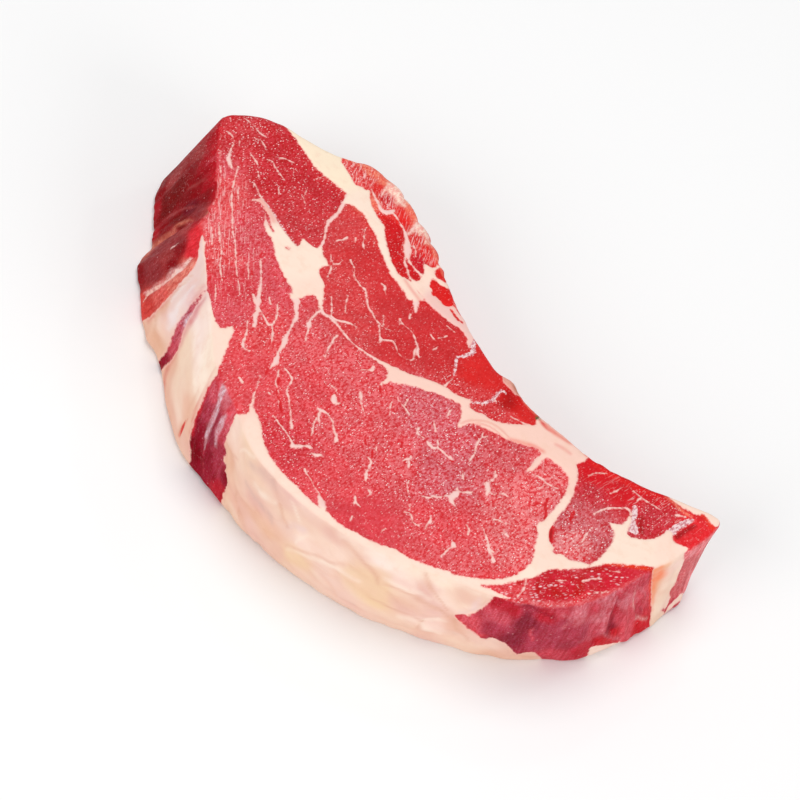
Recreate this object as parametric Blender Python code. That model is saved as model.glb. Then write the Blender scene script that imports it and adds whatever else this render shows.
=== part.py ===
"""A raw rib-eye steak, cut thick across the rib, lying flat on its lower cut face.

The long axis runs along X and the concave back edge faces +Y. The fat cap is the long convex
side at -Y. The thin tail of the steak is the tip at +X. The origin is the centre of the
footprint, on the surface that the steak lies on, and +Z is up. Sizes are in millimetres.

The two cut faces are nearly flat. The side between them is a loft from the lower outline to
the upper one. The outlines differ, because the meat leans as it settles: at the left end the
foot spreads out past the upper rim, and along the back the upper rim overhangs a little.
"""

import math

import bmesh
import bpy
from mathutils import Vector
from mathutils.geometry import delaunay_2d_cdt

MM = 0.001  # metres in a millimetre

THICKNESS = 38.0  # from the lower cut face to the rim of the upper one
CROWN = 0.7  # how far the upper face rises above its rim in the middle
DIMPLE = 0.35  # depth of the slow waves over the upper face
UPPER_ROUND = 1.6  # radius of the edge round the upper face
LOWER_ROUND = 2.2  # radius of the edge round the lower face
LOWER_SPREAD = 1.0  # the soft foot spreads this far past its outline

RIM_STEPS = 168  # points round each ring
ROUND_STEPS = 3  # rings in each rounded edge
SIDE_STEPS = 5  # rings in the height of the side, between the rounded edges
FACE_SPACING = 7.0  # between the inner points of the upper face

STEAK_COLOUR = (0.66, 0.09, 0.09, 1.0)

# Landmarks round the steak, counterclockwise seen from above, starting at the left end.
# Each one is a place on the upper outline, the place below it on the lower outline, and how
# far the side swells out between them at half height.
LANDMARKS = [
    # the blade end, where the foot spreads out well past the upper rim
    ((-122.0, 39.5), (-130.0, 25.0), 0.0),
    ((-116.0, 29.5), (-124.0, 14.0), 0.5),
    ((-106.0, 18.0), (-117.0, 6.0), 1.0),
    ((-96.0, 7.5), (-112.0, 0.0), 1.2),
    # the groove between the two dark muscles of the blade end
    ((-92.0, -3.0), (-109.0, -5.0), 0.0),
    ((-85.5, -10.5), (-105.5, -15.0), 1.2),
    ((-77.0, -18.5), (-96.0, -23.0), 1.2),
    ((-69.0, -25.5), (-84.5, -33.0), 0.5),
    # the fat wedge in front of the blade end
    ((-59.0, -34.0), (-66.5, -41.0), 0.5),
    ((-49.0, -43.0), (-49.5, -54.0), 1.5),
    # the muscle that shows between the fat wedge and the fat cap
    ((-39.0, -51.0), (-32.0, -63.5), 1.5),
    ((-21.0, -59.0), (-12.5, -66.5), 2.0),
    # the fat cap
    ((-8.0, -66.0), (-2.0, -68.0), 2.4),
    ((8.0, -69.0), (11.0, -68.5), 2.4),
    ((28.0, -68.0), (29.0, -67.5), 2.4),
    ((46.0, -64.0), (49.0, -63.0), 2.4),
    ((60.0, -58.0), (65.0, -56.0), 2.4),
    ((74.0, -50.0), (78.0, -49.0), 2.0),
    ((91.0, -41.5), (95.0, -37.0), 1.5),
    # the lean corner, and the hollow end face up to the tail
    ((102.0, -33.0), (108.5, -24.0), 1.5),
    ((111.5, -21.0), (119.0, -9.5), 1.5),
    ((117.0, -5.0), (125.0, 7.0), 1.0),
    ((120.0, 12.0), (128.0, 18.5), -0.5),
    ((123.5, 30.0), (129.0, 33.0), -2.0),
    # the tail tip
    ((125.0, 44.0), (129.0, 41.0), -1.5),
    ((122.5, 53.0), (125.0, 48.0), -0.5),
    # the concave back edge
    ((110.0, 48.5), (113.0, 46.0), 1.0),
    ((95.0, 41.0), (98.0, 39.0), 1.5),
    ((78.0, 35.0), (80.0, 33.5), 1.5),
    ((60.0, 33.0), (61.0, 31.0), 1.5),
    ((43.0, 32.5), (43.0, 30.5), 1.5),
    ((34.0, 35.0), (33.0, 32.0), 1.0),
    ((25.0, 35.0), (24.0, 33.0), 1.0),
    ((8.0, 41.0), (6.0, 38.5), 1.5),
    # the fringe of intercostal meat
    ((-6.0, 46.5), (-9.0, 43.5), 1.5),
    ((-24.0, 57.0), (-28.0, 53.0), 1.5),
    ((-40.0, 65.0), (-45.0, 61.0), 1.5),
    ((-56.0, 70.0), (-62.0, 66.0), 1.5),
    ((-70.0, 69.5), (-77.0, 64.5), 1.5),
    # the corner above the blade end
    ((-84.0, 62.0), (-92.0, 58.0), 1.2),
    ((-95.0, 58.5), (-104.0, 53.5), 1.0),
    ((-106.0, 56.0), (-114.5, 49.0), 0.5),
    ((-116.5, 49.0), (-126.0, 38.0), 0.0),
]


def catmull_rom(before, start, end, after, share):
    """A point on the smooth curve from start to end, where share runs from 0 to 1."""
    slope_in = (end - before) * 0.5
    slope_out = (after - start) * 0.5
    s2 = share * share
    s3 = s2 * share
    return (
        start * (2 * s3 - 3 * s2 + 1)
        + slope_in * (s3 - 2 * s2 + share)
        + end * (3 * s2 - 2 * s3)
        + slope_out * (s3 - s2)
    )


def outline_stations(steps):
    """Points of the upper outline, the points below them, and the swell of the side there."""
    knots = [Vector((*upper, *lower)) for upper, lower, _ in LANDMARKS]
    swells = [swell for _, _, swell in LANDMARKS]
    fine = []
    count = len(knots)
    for i in range(count):
        around = [knots[(i + offset) % count] for offset in (-1, 0, 1, 2)]
        for k in range(24):
            swell = swells[i] + (swells[(i + 1) % count] - swells[i]) * k / 24
            fine.append((catmull_rom(*around, k / 24), swell))
    fine.append(fine[0])
    reach = [0.0]
    for (one, _), (two, _) in zip(fine, fine[1:]):
        reach.append(reach[-1] + (two.xy - one.xy).length)
    stations = []
    k = 0
    for i in range(steps):
        want = reach[-1] * i / steps
        while reach[k + 1] < want:
            k += 1
        share = (want - reach[k]) / (reach[k + 1] - reach[k])
        place = fine[k][0].lerp(fine[k + 1][0], share)
        swell = fine[k][1] + (fine[k + 1][1] - fine[k][1]) * share
        stations.append((Vector(place[:2]), Vector(place[2:]), swell))
    return stations


def outward_normals(loop):
    """The unit normal of a counterclockwise loop at each of its points."""
    normals = []
    for i in range(len(loop)):
        along = loop[(i + 1) % len(loop)] - loop[i - 1]
        normals.append(Vector((along.y, -along.x)).normalized())
    return normals


def profile():
    """Heights and insets of the rings, from the flat lower face to the flat upper one."""
    rings = []
    for k in range(ROUND_STEPS):
        angle = math.pi / 2 * k / ROUND_STEPS
        rings.append((LOWER_ROUND * (1 - math.cos(angle)), LOWER_ROUND * (1 - math.sin(angle))))
    low = LOWER_ROUND
    high = THICKNESS - UPPER_ROUND
    for k in range(SIDE_STEPS + 1):
        rings.append((low + (high - low) * k / SIDE_STEPS, 0.0))
    for k in range(1, ROUND_STEPS + 1):
        angle = math.pi / 2 * k / ROUND_STEPS
        rings.append((high + UPPER_ROUND * math.sin(angle), UPPER_ROUND * (1 - math.cos(angle))))
    return rings


def ring_points(height, inset, stations, normals):
    """One ring of the side: between the two outlines, swollen out and drawn in at the edges."""
    share = height / THICKNESS
    swollen = 4 * share * (1 - share)
    points = []
    for (upper, lower, swell), normal in zip(stations, normals):
        foot = lower + normal * LOWER_SPREAD
        place = foot.lerp(upper, share) + normal * (swell * swollen - inset)
        points.append(Vector((place.x, place.y, height)))
    return points


def crown_height(x, y, to_rim):
    """The upper face above its rim: a low crown with slow waves, and nothing at the rim itself."""
    rise = min(to_rim / 25.0, 1.0)
    waves = math.sin(x / 17.0 + 1.3) * math.cos(y / 13.0) + math.sin((x + y) / 29.0)
    return rise * (2 - rise) * CROWN + min(to_rim / 12.0, 1.0) * DIMPLE * waves


def inner_points(rim):
    """A triangular grid of points inside the rim, clear of it."""
    row = FACE_SPACING * math.sqrt(3) / 2
    found = []
    across = int(140 / FACE_SPACING)
    for j in range(-int(90 / row), int(90 / row) + 1):
        for i in range(-across, across + 1):
            place = Vector(((i + (j % 2) / 2) * FACE_SPACING, j * row))
            to_rim = min((place - other).length for other in rim)
            if to_rim > FACE_SPACING * 0.55 and inside(place, rim):
                found.append((place, to_rim))
    return found


def inside(place, rim):
    """Whether a point lies inside a closed loop, by counting the edges to its right."""
    crossings = 0
    for one, two in zip(rim, rim[1:] + rim[:1]):
        if (one.y > place.y) != (two.y > place.y):
            x = one.x + (place.y - one.y) * (two.x - one.x) / (two.y - one.y)
            crossings += x > place.x
    return crossings % 2 == 1


def add_upper_face(bm, rim_verts):
    """Fills the top with triangles over the rim and the inner grid, raised into the crown."""
    rim = [v.co.xy for v in rim_verts]
    grid = inner_points(rim)
    verts = list(rim_verts)
    for place, to_rim in grid:
        height = THICKNESS + crown_height(place.x, place.y, to_rim)
        verts.append(bm.verts.new((place.x, place.y, height)))
    edges = [(i, (i + 1) % len(rim)) for i in range(len(rim))]
    flat = rim + [place for place, _ in grid]
    triangles = delaunay_2d_cdt(flat, edges, [], 1, 1e-6)[2]
    for corners in triangles:
        bm.faces.new([verts[i] for i in corners])


def steak_mesh():
    stations = outline_stations(RIM_STEPS)
    normals = outward_normals([upper for upper, _, _ in stations])
    bm = bmesh.new()
    rings = []
    for height, inset in profile():
        points = ring_points(height, inset, stations, normals)
        rings.append([bm.verts.new(point) for point in points])
    for below, above in zip(rings, rings[1:]):
        for i in range(RIM_STEPS):
            k = (i + 1) % RIM_STEPS
            bm.faces.new((below[i], below[k], above[k], above[i]))
    bm.faces.new(reversed(rings[0]))
    add_upper_face(bm, rings[-1])
    bmesh.ops.scale(bm, vec=Vector((MM, MM, MM)), verts=bm.verts)
    bmesh.ops.triangulate(bm, faces=bm.faces)
    bmesh.ops.recalc_face_normals(bm, faces=bm.faces)
    mesh = bpy.data.meshes.new("steak")
    bm.to_mesh(mesh)
    bm.free()
    return mesh


def meat_material():
    material = bpy.data.materials.new("raw meat")
    material.use_nodes = True
    shader = material.node_tree.nodes["Principled BSDF"]
    shader.inputs["Base Color"].default_value = STEAK_COLOUR
    shader.inputs["Roughness"].default_value = 0.45
    shader.inputs["Metallic"].default_value = 0.0
    material.diffuse_color = STEAK_COLOUR
    return material


def main():
    for obj in list(bpy.data.objects):
        bpy.data.objects.remove(obj)
    collection = bpy.data.collections.new("ribeye_steak")
    bpy.context.scene.collection.children.link(collection)
    mesh = steak_mesh()
    mesh.materials.append(meat_material())
    mesh.shade_smooth()
    mesh.set_sharp_from_angle(angle=math.radians(50))
    collection.objects.link(bpy.data.objects.new("steak", mesh))


main()
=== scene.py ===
"""A raw rib-eye steak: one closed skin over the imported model, in the model's own frame.

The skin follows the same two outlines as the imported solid. What the eye reads as fat, lean,
silverskin and cuts is stored on its points as distances in millimetres, so one material can
draw every edge sharply. Places on the cut face are (x, y) in millimetres. Places on the side
are (s, h): s runs along the upper outline from the first landmark, counterclockwise seen from
above, and h is the height.
"""

import itertools
import math
from collections import namedtuple

import bpy
import numpy as np
from mathutils import Matrix, Vector
from mathutils.geometry import delaunay_2d_cdt
from mathutils.kdtree import KDTree

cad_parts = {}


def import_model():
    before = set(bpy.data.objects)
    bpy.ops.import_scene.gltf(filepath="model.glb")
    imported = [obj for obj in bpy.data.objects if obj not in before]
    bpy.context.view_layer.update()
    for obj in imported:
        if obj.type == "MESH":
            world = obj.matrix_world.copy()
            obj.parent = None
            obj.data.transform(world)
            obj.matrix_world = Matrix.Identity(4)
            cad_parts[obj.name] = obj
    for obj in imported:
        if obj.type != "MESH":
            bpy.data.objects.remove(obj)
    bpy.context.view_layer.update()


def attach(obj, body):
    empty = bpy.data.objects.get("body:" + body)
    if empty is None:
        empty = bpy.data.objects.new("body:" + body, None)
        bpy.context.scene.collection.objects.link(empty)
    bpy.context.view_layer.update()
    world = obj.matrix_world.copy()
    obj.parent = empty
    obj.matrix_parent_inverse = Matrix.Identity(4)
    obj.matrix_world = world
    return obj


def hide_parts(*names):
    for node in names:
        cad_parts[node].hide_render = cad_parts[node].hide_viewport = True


MM = 0.001  # metres in a millimetre

# The solid, as the model has it
THICKNESS = 38.0
CROWN = 0.7
DIMPLE = 0.35
UPPER_ROUND = 1.6
LOWER_ROUND = 2.2
LOWER_SPREAD = 1.0

# The skin
KNOT_STEPS = 24  # steps of the outline between two landmarks
ROUND_STEPS = 4  # rings in each rounded edge
FRONT_STEP = 0.85  # between the points round the sides that are cut clean
BACK_STEP = 1.5  # between the points round the concave back
BACK_START = 372.0
BACK_END = 612.0
RING_STEP = 0.95  # between the rings up the side
TOP_STEP = 0.68  # between the points of the upper cut face
BOTTOM_STEP = 1.5  # between the points of the lower one
CLEAR = 0.42  # share of the step that grid points keep from a line through them
SHEEN = 0.012  # white that the moist surface adds to its colour
FAR = 3.0  # distances are stored up to this many millimetres

# The noise: numbers that only make its values look random
HASH_KEYS = np.array([127.1, 311.7])
HASH_SCALE = 43758.5453
HASH_SHIFT = 7.31

# Stretches of the side, in s: where each one starts, is in full, begins to fade, and has ended
END_FACE = (255, 262, 360, 370)
TAIL_STRIPE = (331, 333, 346, 350)
CAP_SIDE = (146, 156, 256, 266)
ROUGH_BACK = (360, 380, 600, 618)
BACK_LOOK = (366, 374, 606, 614)  # where the look is a cut through the muscles
RAGGED_RIM = (408, 414, 425, 430)
FRONT_FROM = 500.0  # from here on the drawings count s back from the first landmark
RIM_START = 1.0  # the look of the cut face comes in from this far below the rim
RIM_FULL = 0.25  # and has taken over this far below it

# The lump on the rim, and the lobes of the fringe, which are scalloped between creases
LUMP_PLACE = 464.5
LUMP_REACH = 3.5
LUMP_RISE = 1.3
CREASES = (518.0, 523.5, 533.7, 544.7, 556.4, 567.0, 582.0)
SCALLOP = 1.0  # how far the lobes stand out

BACK_SHADE = 0.7  # how much of the colour of the cut face the back of the side keeps
BACK_SPECKS = 0.3  # and how much of its specks and streaks

# Camera: where it looks, from how far, and how the picture is turned
TARGET = Vector((0.012, -0.006, 0.038))
AZIMUTH = math.radians(22)
ELEVATION = math.radians(50)
ROLL = math.radians(25)
DISTANCE = 1.0
LENS = 123.75
SENSOR = 36

# Studio, in metres and watts. Each softbox: name, place, the height it aims at, size and power
FLOOR_HALF = 6.0
FLOOR_DROP = 0.0002  # the floor lies this far under the steak
WORLD_LIGHT = 0.40
SOFTBOXES = [
    ("key", (-0.25, 0.35, 1.5), 0.0, 1.1, 9.4),
    ("front_fill", (-0.25, -1.3, 0.75), 0.02, 0.9, 8.4),
    ("right_fill", (1.3, -0.1, 0.55), 0.02, 0.7, 5.2),
    ("sparkle_left", (-0.55, 0.9, 1.0), 0.03, 0.09, 0.5),
    ("sparkle_right", (0.25, 1.1, 0.9), 0.03, 0.09, 0.5),
]

# Landmarks: a place on the upper outline, the place below it on the lower outline, and how far
# the side swells out between them.
LANDMARKS = [
    # the blade end, where the foot spreads out well past the upper rim
    ((-122.0, 39.5), (-130.0, 25.0), 0.0),
    ((-116.0, 29.5), (-124.0, 14.0), 0.5),
    ((-106.0, 18.0), (-117.0, 6.0), 1.0),
    ((-96.0, 7.5), (-112.0, 0.0), 1.2),
    # the groove between the two dark muscles of the blade end
    ((-92.0, -3.0), (-109.0, -5.0), 0.0),
    ((-85.5, -10.5), (-105.5, -15.0), 1.2),
    ((-77.0, -18.5), (-96.0, -23.0), 1.2),
    ((-69.0, -25.5), (-84.5, -33.0), 0.5),
    # the fat wedge in front of the blade end
    ((-59.0, -34.0), (-66.5, -41.0), 0.5),
    ((-49.0, -43.0), (-49.5, -54.0), 1.5),
    # the muscle that shows between the fat wedge and the fat cap
    ((-39.0, -51.0), (-32.0, -63.5), 1.5),
    ((-21.0, -59.0), (-12.5, -66.5), 2.0),
    # the fat cap
    ((-8.0, -66.0), (-2.0, -68.0), 2.4),
    ((8.0, -69.0), (11.0, -68.5), 2.4),
    ((28.0, -68.0), (29.0, -67.5), 2.4),
    ((46.0, -64.0), (49.0, -63.0), 2.4),
    ((60.0, -58.0), (65.0, -56.0), 2.4),
    ((74.0, -50.0), (78.0, -49.0), 2.0),
    ((91.0, -41.5), (95.0, -37.0), 1.5),
    # the lean corner, and the hollow end face up to the tail
    ((102.0, -33.0), (108.5, -24.0), 1.5),
    ((111.5, -21.0), (119.0, -9.5), 1.5),
    ((117.0, -5.0), (125.0, 7.0), 1.0),
    ((120.0, 12.0), (128.0, 18.5), -0.5),
    ((123.5, 30.0), (129.0, 33.0), -2.0),
    # the tail tip
    ((125.0, 44.0), (129.0, 41.0), -1.5),
    ((122.5, 53.0), (125.0, 48.0), -0.5),
    # the concave back edge
    ((110.0, 48.5), (113.0, 46.0), 1.0),
    ((95.0, 41.0), (98.0, 39.0), 1.5),
    ((78.0, 35.0), (80.0, 33.5), 1.5),
    ((60.0, 33.0), (61.0, 31.0), 1.5),
    ((43.0, 32.5), (43.0, 30.5), 1.5),
    ((34.0, 35.0), (33.0, 32.0), 1.0),
    ((25.0, 35.0), (24.0, 33.0), 1.0),
    ((8.0, 41.0), (6.0, 38.5), 1.5),
    # the fringe of intercostal meat
    ((-6.0, 46.5), (-9.0, 43.5), 1.5),
    ((-24.0, 57.0), (-28.0, 53.0), 1.5),
    ((-40.0, 65.0), (-45.0, 61.0), 1.5),
    ((-56.0, 70.0), (-62.0, 66.0), 1.5),
    ((-70.0, 69.5), (-77.0, 64.5), 1.5),
    # the corner above the blade end
    ((-84.0, 62.0), (-92.0, 58.0), 1.2),
    ((-95.0, 58.5), (-104.0, 53.5), 1.0),
    ((-106.0, 56.0), (-114.5, 49.0), 0.5),
    ((-116.5, 49.0), (-126.0, 38.0), 0.0),
]

# ---------------------------------------------------------------- colours, as 8-bit sRGB

BLADE = (206, 49, 57)
BLADE_PALE = (209, 61, 67)
STRIP = (225, 86, 95)
STRIP_SHEEN = (234, 99, 103)
STRIP_WARM = (234, 88, 91)
MID = (211, 54, 57)
MID_PALE = (219, 71, 73)
GLOSS = (220, 46, 45)
DEEP = (204, 31, 28)
DARK_PATCH = (176, 2, 10)
EYE = (231, 95, 100)
EYE_DIM = (219, 93, 98)
EYE_COOL = (221, 103, 111)
EYE_RED = (230, 84, 90)
EYE_WARM = (237, 113, 115)
TAIL_SHEEN = (233, 126, 127)
TAIL_ROSE = (211, 98, 104)
TAIL_RED = (214, 33, 41)
TIP_RED = (232, 48, 54)
TAIL_DIM = (208, 56, 66)
CORNER = (209, 38, 54)
CORNER_WARM = (231, 77, 83)
FRINGE_PINK = (232, 80, 78)
FRINGE_SALMON = (243, 122, 100)
FRINGE_CREAM = (252, 205, 188)
FRINGE_RED = (229, 39, 38)
FRINGE_DARK = (212, 34, 38)
FRINGE_WINE = (205, 34, 46)
CORNER_PINK = (230, 104, 108)
CORNER_DARK = (196, 10, 22)
TAIL_EDGE = (236, 66, 48)
SILVER_SHADE = (176, 16, 36)
EYE_DEEP = (221, 68, 77)
LUMP_PINK = (232, 158, 146)
LUMP_BROWN = (176, 112, 86)
LAYER_MEAT = (228, 96, 88)

CREAM = (254, 229, 211)
CREAM_YELLOW = (254, 234, 208)
CREAM_WARM = (254, 223, 206)
CREAM_PINK = (252, 211, 196)
CREAM_ROSE = (244, 199, 191)
VEIN = (249, 208, 202)
CAP = (243, 206, 186)
CAP_LIGHT = (250, 218, 200)
CAP_ROSE = (238, 194, 178)
CAP_TAN = (236, 187, 163)
CAP_PEACH = (242, 205, 172)
WEDGE = (254, 230, 214)
WEDGE_LOW = (245, 213, 192)
WEDGE_FOOT = (234, 184, 160)
MEMBRANE = (240, 208, 203)
FOLD_TAN = (226, 172, 146)
FOLD_SHADE_GREY = (222, 184, 172)
FOLD_HIGHLIGHT = (253, 230, 214)
STRIPE_ORANGE = (253, 140, 96)
STRIPE_WARM = (246, 190, 158)

MAROON = (141, 32, 36)
MAROON_DEEP = (123, 19, 22)
MAROON_SHEEN = (163, 66, 66)
MAROON_RED = (174, 38, 46)
MAROON_BLACK = (118, 32, 42)
RIM_RED = (196, 40, 48)
SCARLET = (226, 56, 64)
GROOVE_TAN = (206, 116, 98)
GROOVE_ROSE = (172, 68, 68)
BROWN_ROSE_AND_SHEEN = (150, 57, 60)
SALMON = (213, 74, 67)
SALMON_MID = (224, 102, 94)
SALMON_PALE = (230, 130, 115)
LILAC_SHEEN = (220, 178, 186)
WINE = (150, 40, 54)
WINE_DEEP = (132, 28, 40)
ROSE_RED = (204, 84, 97)
ROSE_PALE = (213, 113, 123)
PLUM = (178, 66, 82)
PLUM_DARK = (146, 52, 66)
PLUM_RED = (190, 50, 62)
PLUM_BRIGHT = (222, 80, 92)
END_ROSE = (221, 90, 101)
END_RED = (204, 74, 87)
END_BRIGHT = (209, 46, 54)
STRIPE_RED = (232, 62, 36)
MAUVE = (216, 112, 115)
MAUVE_PALE = (237, 134, 138)
LAYER_PINK = (243, 178, 165)
LAYER_RED = (242, 150, 136)
HERB = (52, 104, 58)
FILM_SHEEN_WHITE = (246, 234, 233)
FILM_TAN = (228, 176, 148)
FILM_RED = (220, 124, 112)
FILM_ROSE = (228, 168, 164)

SPECK_GLINT_WHITE = (255, 226, 224)
STREAK_PINK = (252, 205, 202)
SIDE_GLINT_PINK = (250, 190, 195)
TORN_RED_AND_SHADE = (192, 6, 20)
TORN_GLINT = (255, 222, 226)
SILVER_DARK = (208, 138, 146)
SILVER_PALE = (247, 228, 228)
MOTTLE_TAN = (243, 200, 176)
THIN_FAT = (249, 190, 180)
CUT_RED = (212, 14, 24)
CUT_SHADE = (168, 2, 10)

# Streaks of fibre: the kind, its direction in degrees, where its noise starts to show, strength
FIBRE_STREAKS = [("blade", -48, 0.54, 0.55), ("tail", 84, 0.58, 0.5), ("fringe", 118, 0.50, 0.65)]

# ---------------------------------------------------------------- the upper cut face

# Bodies of fat. Their outer corners run past the rim, so that they end on the side.
MASSES = {
    "back band": [
        (-110, 56), (-101, 61), (-88, 66), (-80, 67), (-80, 62.2), (-76, 60), (-72.5, 58.7), (-69.5, 57.5),
        (-67.5, 57), (-65.5, 58.2), (-63.5, 58.3), (-62.5, 59.8), (-61, 58.2), (-58.5, 55.6), (-56, 53.9),
        (-52, 52), (-48.5, 51), (-47, 50.6), (-43.5, 47.3), (-40, 44.4), (-36, 41.5), (-32, 39.2),
        (-28.5, 37.6), (-26.3, 37.3), (-25.2, 38), (-21, 39), (-17, 37.5), (-13.5, 36.8), (-14.5, 34),
        (-17, 31.5), (-20, 32.3), (-25, 33.7), (-30, 34.9), (-35, 37.5), (-40, 40), (-43, 42), (-47, 44.5),
        (-50, 45.6), (-55, 47.5), (-60, 47.8), (-63, 46.5), (-64.2, 46), (-65.8, 50), (-72, 50), (-78, 50),
        (-84, 50.3), (-88, 51.5), (-92, 52.5), (-97, 54), (-103, 55.3),
    ],
    "fringe root": [
        (-24.3, 40), (-22, 40.4), (-21, 41.2), (-21.3, 43), (-22, 44.8), (-22.4, 46.6), (-24, 48.2),
        (-25.2, 50), (-24, 50.8), (-22, 51), (-21.7, 53), (-22.2, 56), (-20.6, 57), (-20.4, 53),
        (-19.6, 50), (-17.5, 49.2), (-15, 50.2), (-13, 50.8), (-9, 49.6), (-5.5, 46.2), (-2.5, 43.6),
        (2, 43.5), (8, 41.5), (10.5, 38.8), (12, 34), (10, 35.5), (8, 37), (6, 37.7), (4, 37.8), (0, 37),
        (-4, 36.6), (-9, 36.3), (-14, 36.8), (-18, 37.3), (-21, 38),
    ],
    "star": [
        (-84.5, 21), (-80, 20), (-76, 18.9), (-72, 17.5), (-68, 16.4), (-64, 15.7), (-60.5, 15.4),
        (-60.8, 17.5), (-62, 20), (-59, 20), (-55.5, 20.8), (-54, 22.5), (-52, 21), (-50.5, 20),
        (-48.5, 19.5), (-47, 18), (-47.8, 15.5), (-47.5, 14), (-46, 12.5), (-44, 11.5), (-42, 10.5),
        (-40, 8.5), (-38, 6), (-36, 3.5), (-34.5, 1), (-35.4, 0), (-36.5, 1.5), (-38, 2.5), (-39.5, 3.3),
        (-41, 2.8), (-42, 1), (-42.5, -1), (-43.2, -3.4), (-45.5, -4.5), (-46.5, -2.5), (-48, -1.3),
        (-50, -0.8), (-52, 0), (-55, 1), (-58, 2.3), (-61, 4), (-63, 5.3), (-65, 7), (-67, 8.5), (-69, 9.5),
        (-72, 10.3), (-74, 11.3), (-76, 13), (-78, 15.5), (-80, 17.5), (-83, 18.6), (-85, 18.2),
        (-86, 16.8), (-86.5, 17.5), (-85.5, 19.5),
    ],
    "middle band": [
        (-5, 0.3), (0, 2.5), (4, 4), (8, 6), (12, 8.7), (16, 10.8), (19, 11.8), (22, 12.3), (24, 13),
        (27, 14.3), (29, 15.2), (29.5, 14), (30.2, 12.7), (32, 12.5), (34, 13.2), (36, 14.5), (39, 15),
        (42, 16.7), (45, 19.5), (48, 23.5), (49.5, 25.5), (51, 27), (50.3, 29.3), (49.6, 33), (50, 37),
        (60, 38), (70, 38), (73, 34.5), (73.6, 29.5), (72.5, 27), (73.5, 25.8), (75, 24.5), (77, 22),
        (78.5, 19), (80, 14), (77.5, 14), (76, 17.5), (74, 19.5), (70, 20.2), (66, 20), (63.8, 19),
        (64, 14), (64.3, 11.5), (63, 8.5), (62, 11), (61.5, 14), (61, 18.5), (59.5, 19.3), (57, 18),
        (54, 16), (50.5, 13.8), (47, 12.3), (44, 11.5), (41, 10.2), (38, 8.8), (36, 7), (35, 4), (34, 2),
        (33.3, 2.3), (32.5, 4), (31.5, 6), (30, 8), (28.5, 9.5), (27, 10), (24, 9), (21, 7.8), (18, 6),
        (15, 4), (12, 2.3), (9, 0), (7, -2), (5, -3.5), (3.4, -6.5), (2.6, -4.5), (1.6, -2.2), (0, -0.5),
    ],
    "right band": [
        (76, 19), (78, 13), (79, 9), (79.7, 5), (80.3, 0), (80.6, -2.5), (80.3, -6.5), (82, -8.5),
        (84, -11), (86, -15), (88, -18), (89.3, -21), (89.7, -25), (89.3, -29), (88, -33), (85, -37.5),
        (82, -41), (78, -44.5), (74, -47.5), (70, -49.5), (73, -55), (82, -51), (92, -45), (96, -40),
        (95.3, -38.2), (91, -39.6), (87, -41.3), (84, -42.8), (86, -40), (88.5, -36.8), (90.3, -33.4),
        (91.6, -30.5), (92.7, -28.3), (94.3, -25), (95, -21), (96.5, -17), (99, -14), (102, -9.5),
        (105.3, -4), (104, -4.4), (101, -6), (99.5, -7), (98, -8.5), (96, -9), (94, -9.5), (93, -11),
        (91.5, -11), (91, -9.5), (88.5, -8.8), (87, -7.5), (85.5, -5), (84.5, -2.5), (83.8, 0), (83, 3),
        (82.7, 7), (82.3, 10), (81.3, 13), (80, 16), (78.5, 19), (77, 22),
    ],
    "tail pool": [
        (104, -5.2), (104.2, 0), (104, 5), (103, 10), (101, 14), (98.5, 15.5), (97, 16.5), (99, 18.5),
        (100.3, 20), (100, 24), (99.5, 27.5), (101.5, 24.5), (103, 21.5), (104.5, 18.3), (106.5, 18.5),
        (108, 20), (110.5, 22.5), (112, 25.5), (112.8, 29), (113.2, 33), (115.4, 33), (116.5, 31),
        (118.5, 30.5), (120.5, 31.5), (123, 32.5), (127, 33.5), (126, 26), (124.5, 17), (121.8, 17.3),
        (118.5, 14), (115, 10.2), (111.5, 6), (108, 1.8), (105.2, -4.4),
    ],
    "rim lump": [
        (28.3, 38), (29, 34), (30.4, 32.8), (33, 32.5), (36, 32.2), (38.4, 32.4), (39.2, 34.2), (38.6, 38),
        (34, 40),
    ],
    "tail rim": [
        (104, 44.5), (112, 45.5), (116, 47), (118, 49.5), (121, 48.3), (124.5, 48.5), (127, 50), (123, 56),
        (110, 51), (102, 47),
    ],
    "cap rim": [
        (74, -47.5), (70, -49.5), (66, -52), (62, -54), (58, -55.5), (54, -56.5), (50, -59), (46, -60.8),
        (42, -62), (38, -63.5), (34, -64.5), (28, -64.3), (24, -65.2), (20, -65.5), (14, -65), (10, -65.2),
        (5, -64.8), (0, -63.5), (-5, -61.5), (-9, -58.5), (-13, -55.5), (-17, -53.5), (-19.5, -52.6),
        (-22, -48), (-20.6, -53.2), (-19, -55), (-18.5, -57), (-19.5, -58.3), (-19, -62), (-8, -70),
        (8, -73), (28, -72), (46, -68), (60, -62), (76, -53),
    ],
    "wedge": [
        (-85, -11.5), (-82, -13), (-79, -16.5), (-76, -19.5), (-72, -23), (-68, -27), (-65, -29.5),
        (-61, -32), (-57, -34.5), (-54, -36), (-51, -37), (-50, -35.5), (-49, -32.5), (-47, -34),
        (-46, -36), (-45, -38), (-43.5, -40.5), (-42, -43.5), (-40.5, -46.5), (-39, -49.5), (-38.7, -51.5),
        (-40, -55), (-51, -48), (-61, -39), (-71, -30), (-79, -23), (-87, -14),
    ],
}

# Lean inside the bodies of fat
ISLANDS = {
    "right fringe muscle": [
        (-18.2, 47.3), (-15, 47.5), (-11, 49), (-8.5, 47.8), (-5, 44.5), (-5.5, 42.5), (-7.5, 41.2),
        (-11, 42), (-13, 41.2), (-15, 43), (-17, 44),
    ],
    "star fleck": [(-62.6, 11.6), (-61.4, 11.9), (-61.2, 11.1), (-62.4, 10.9)],
}
ISLAND_LINES = {
    "star streak": [(-81.5, 18.2, 0.3), (-78, 16.8, 0.45), (-74.5, 14.4, 0.5), (-70.8, 12.8, 0.3)],
    "fringe bits": [(-4, 42, 0.5), (0, 40.8, 0.4), (3, 41, 0.3)],
}

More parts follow.
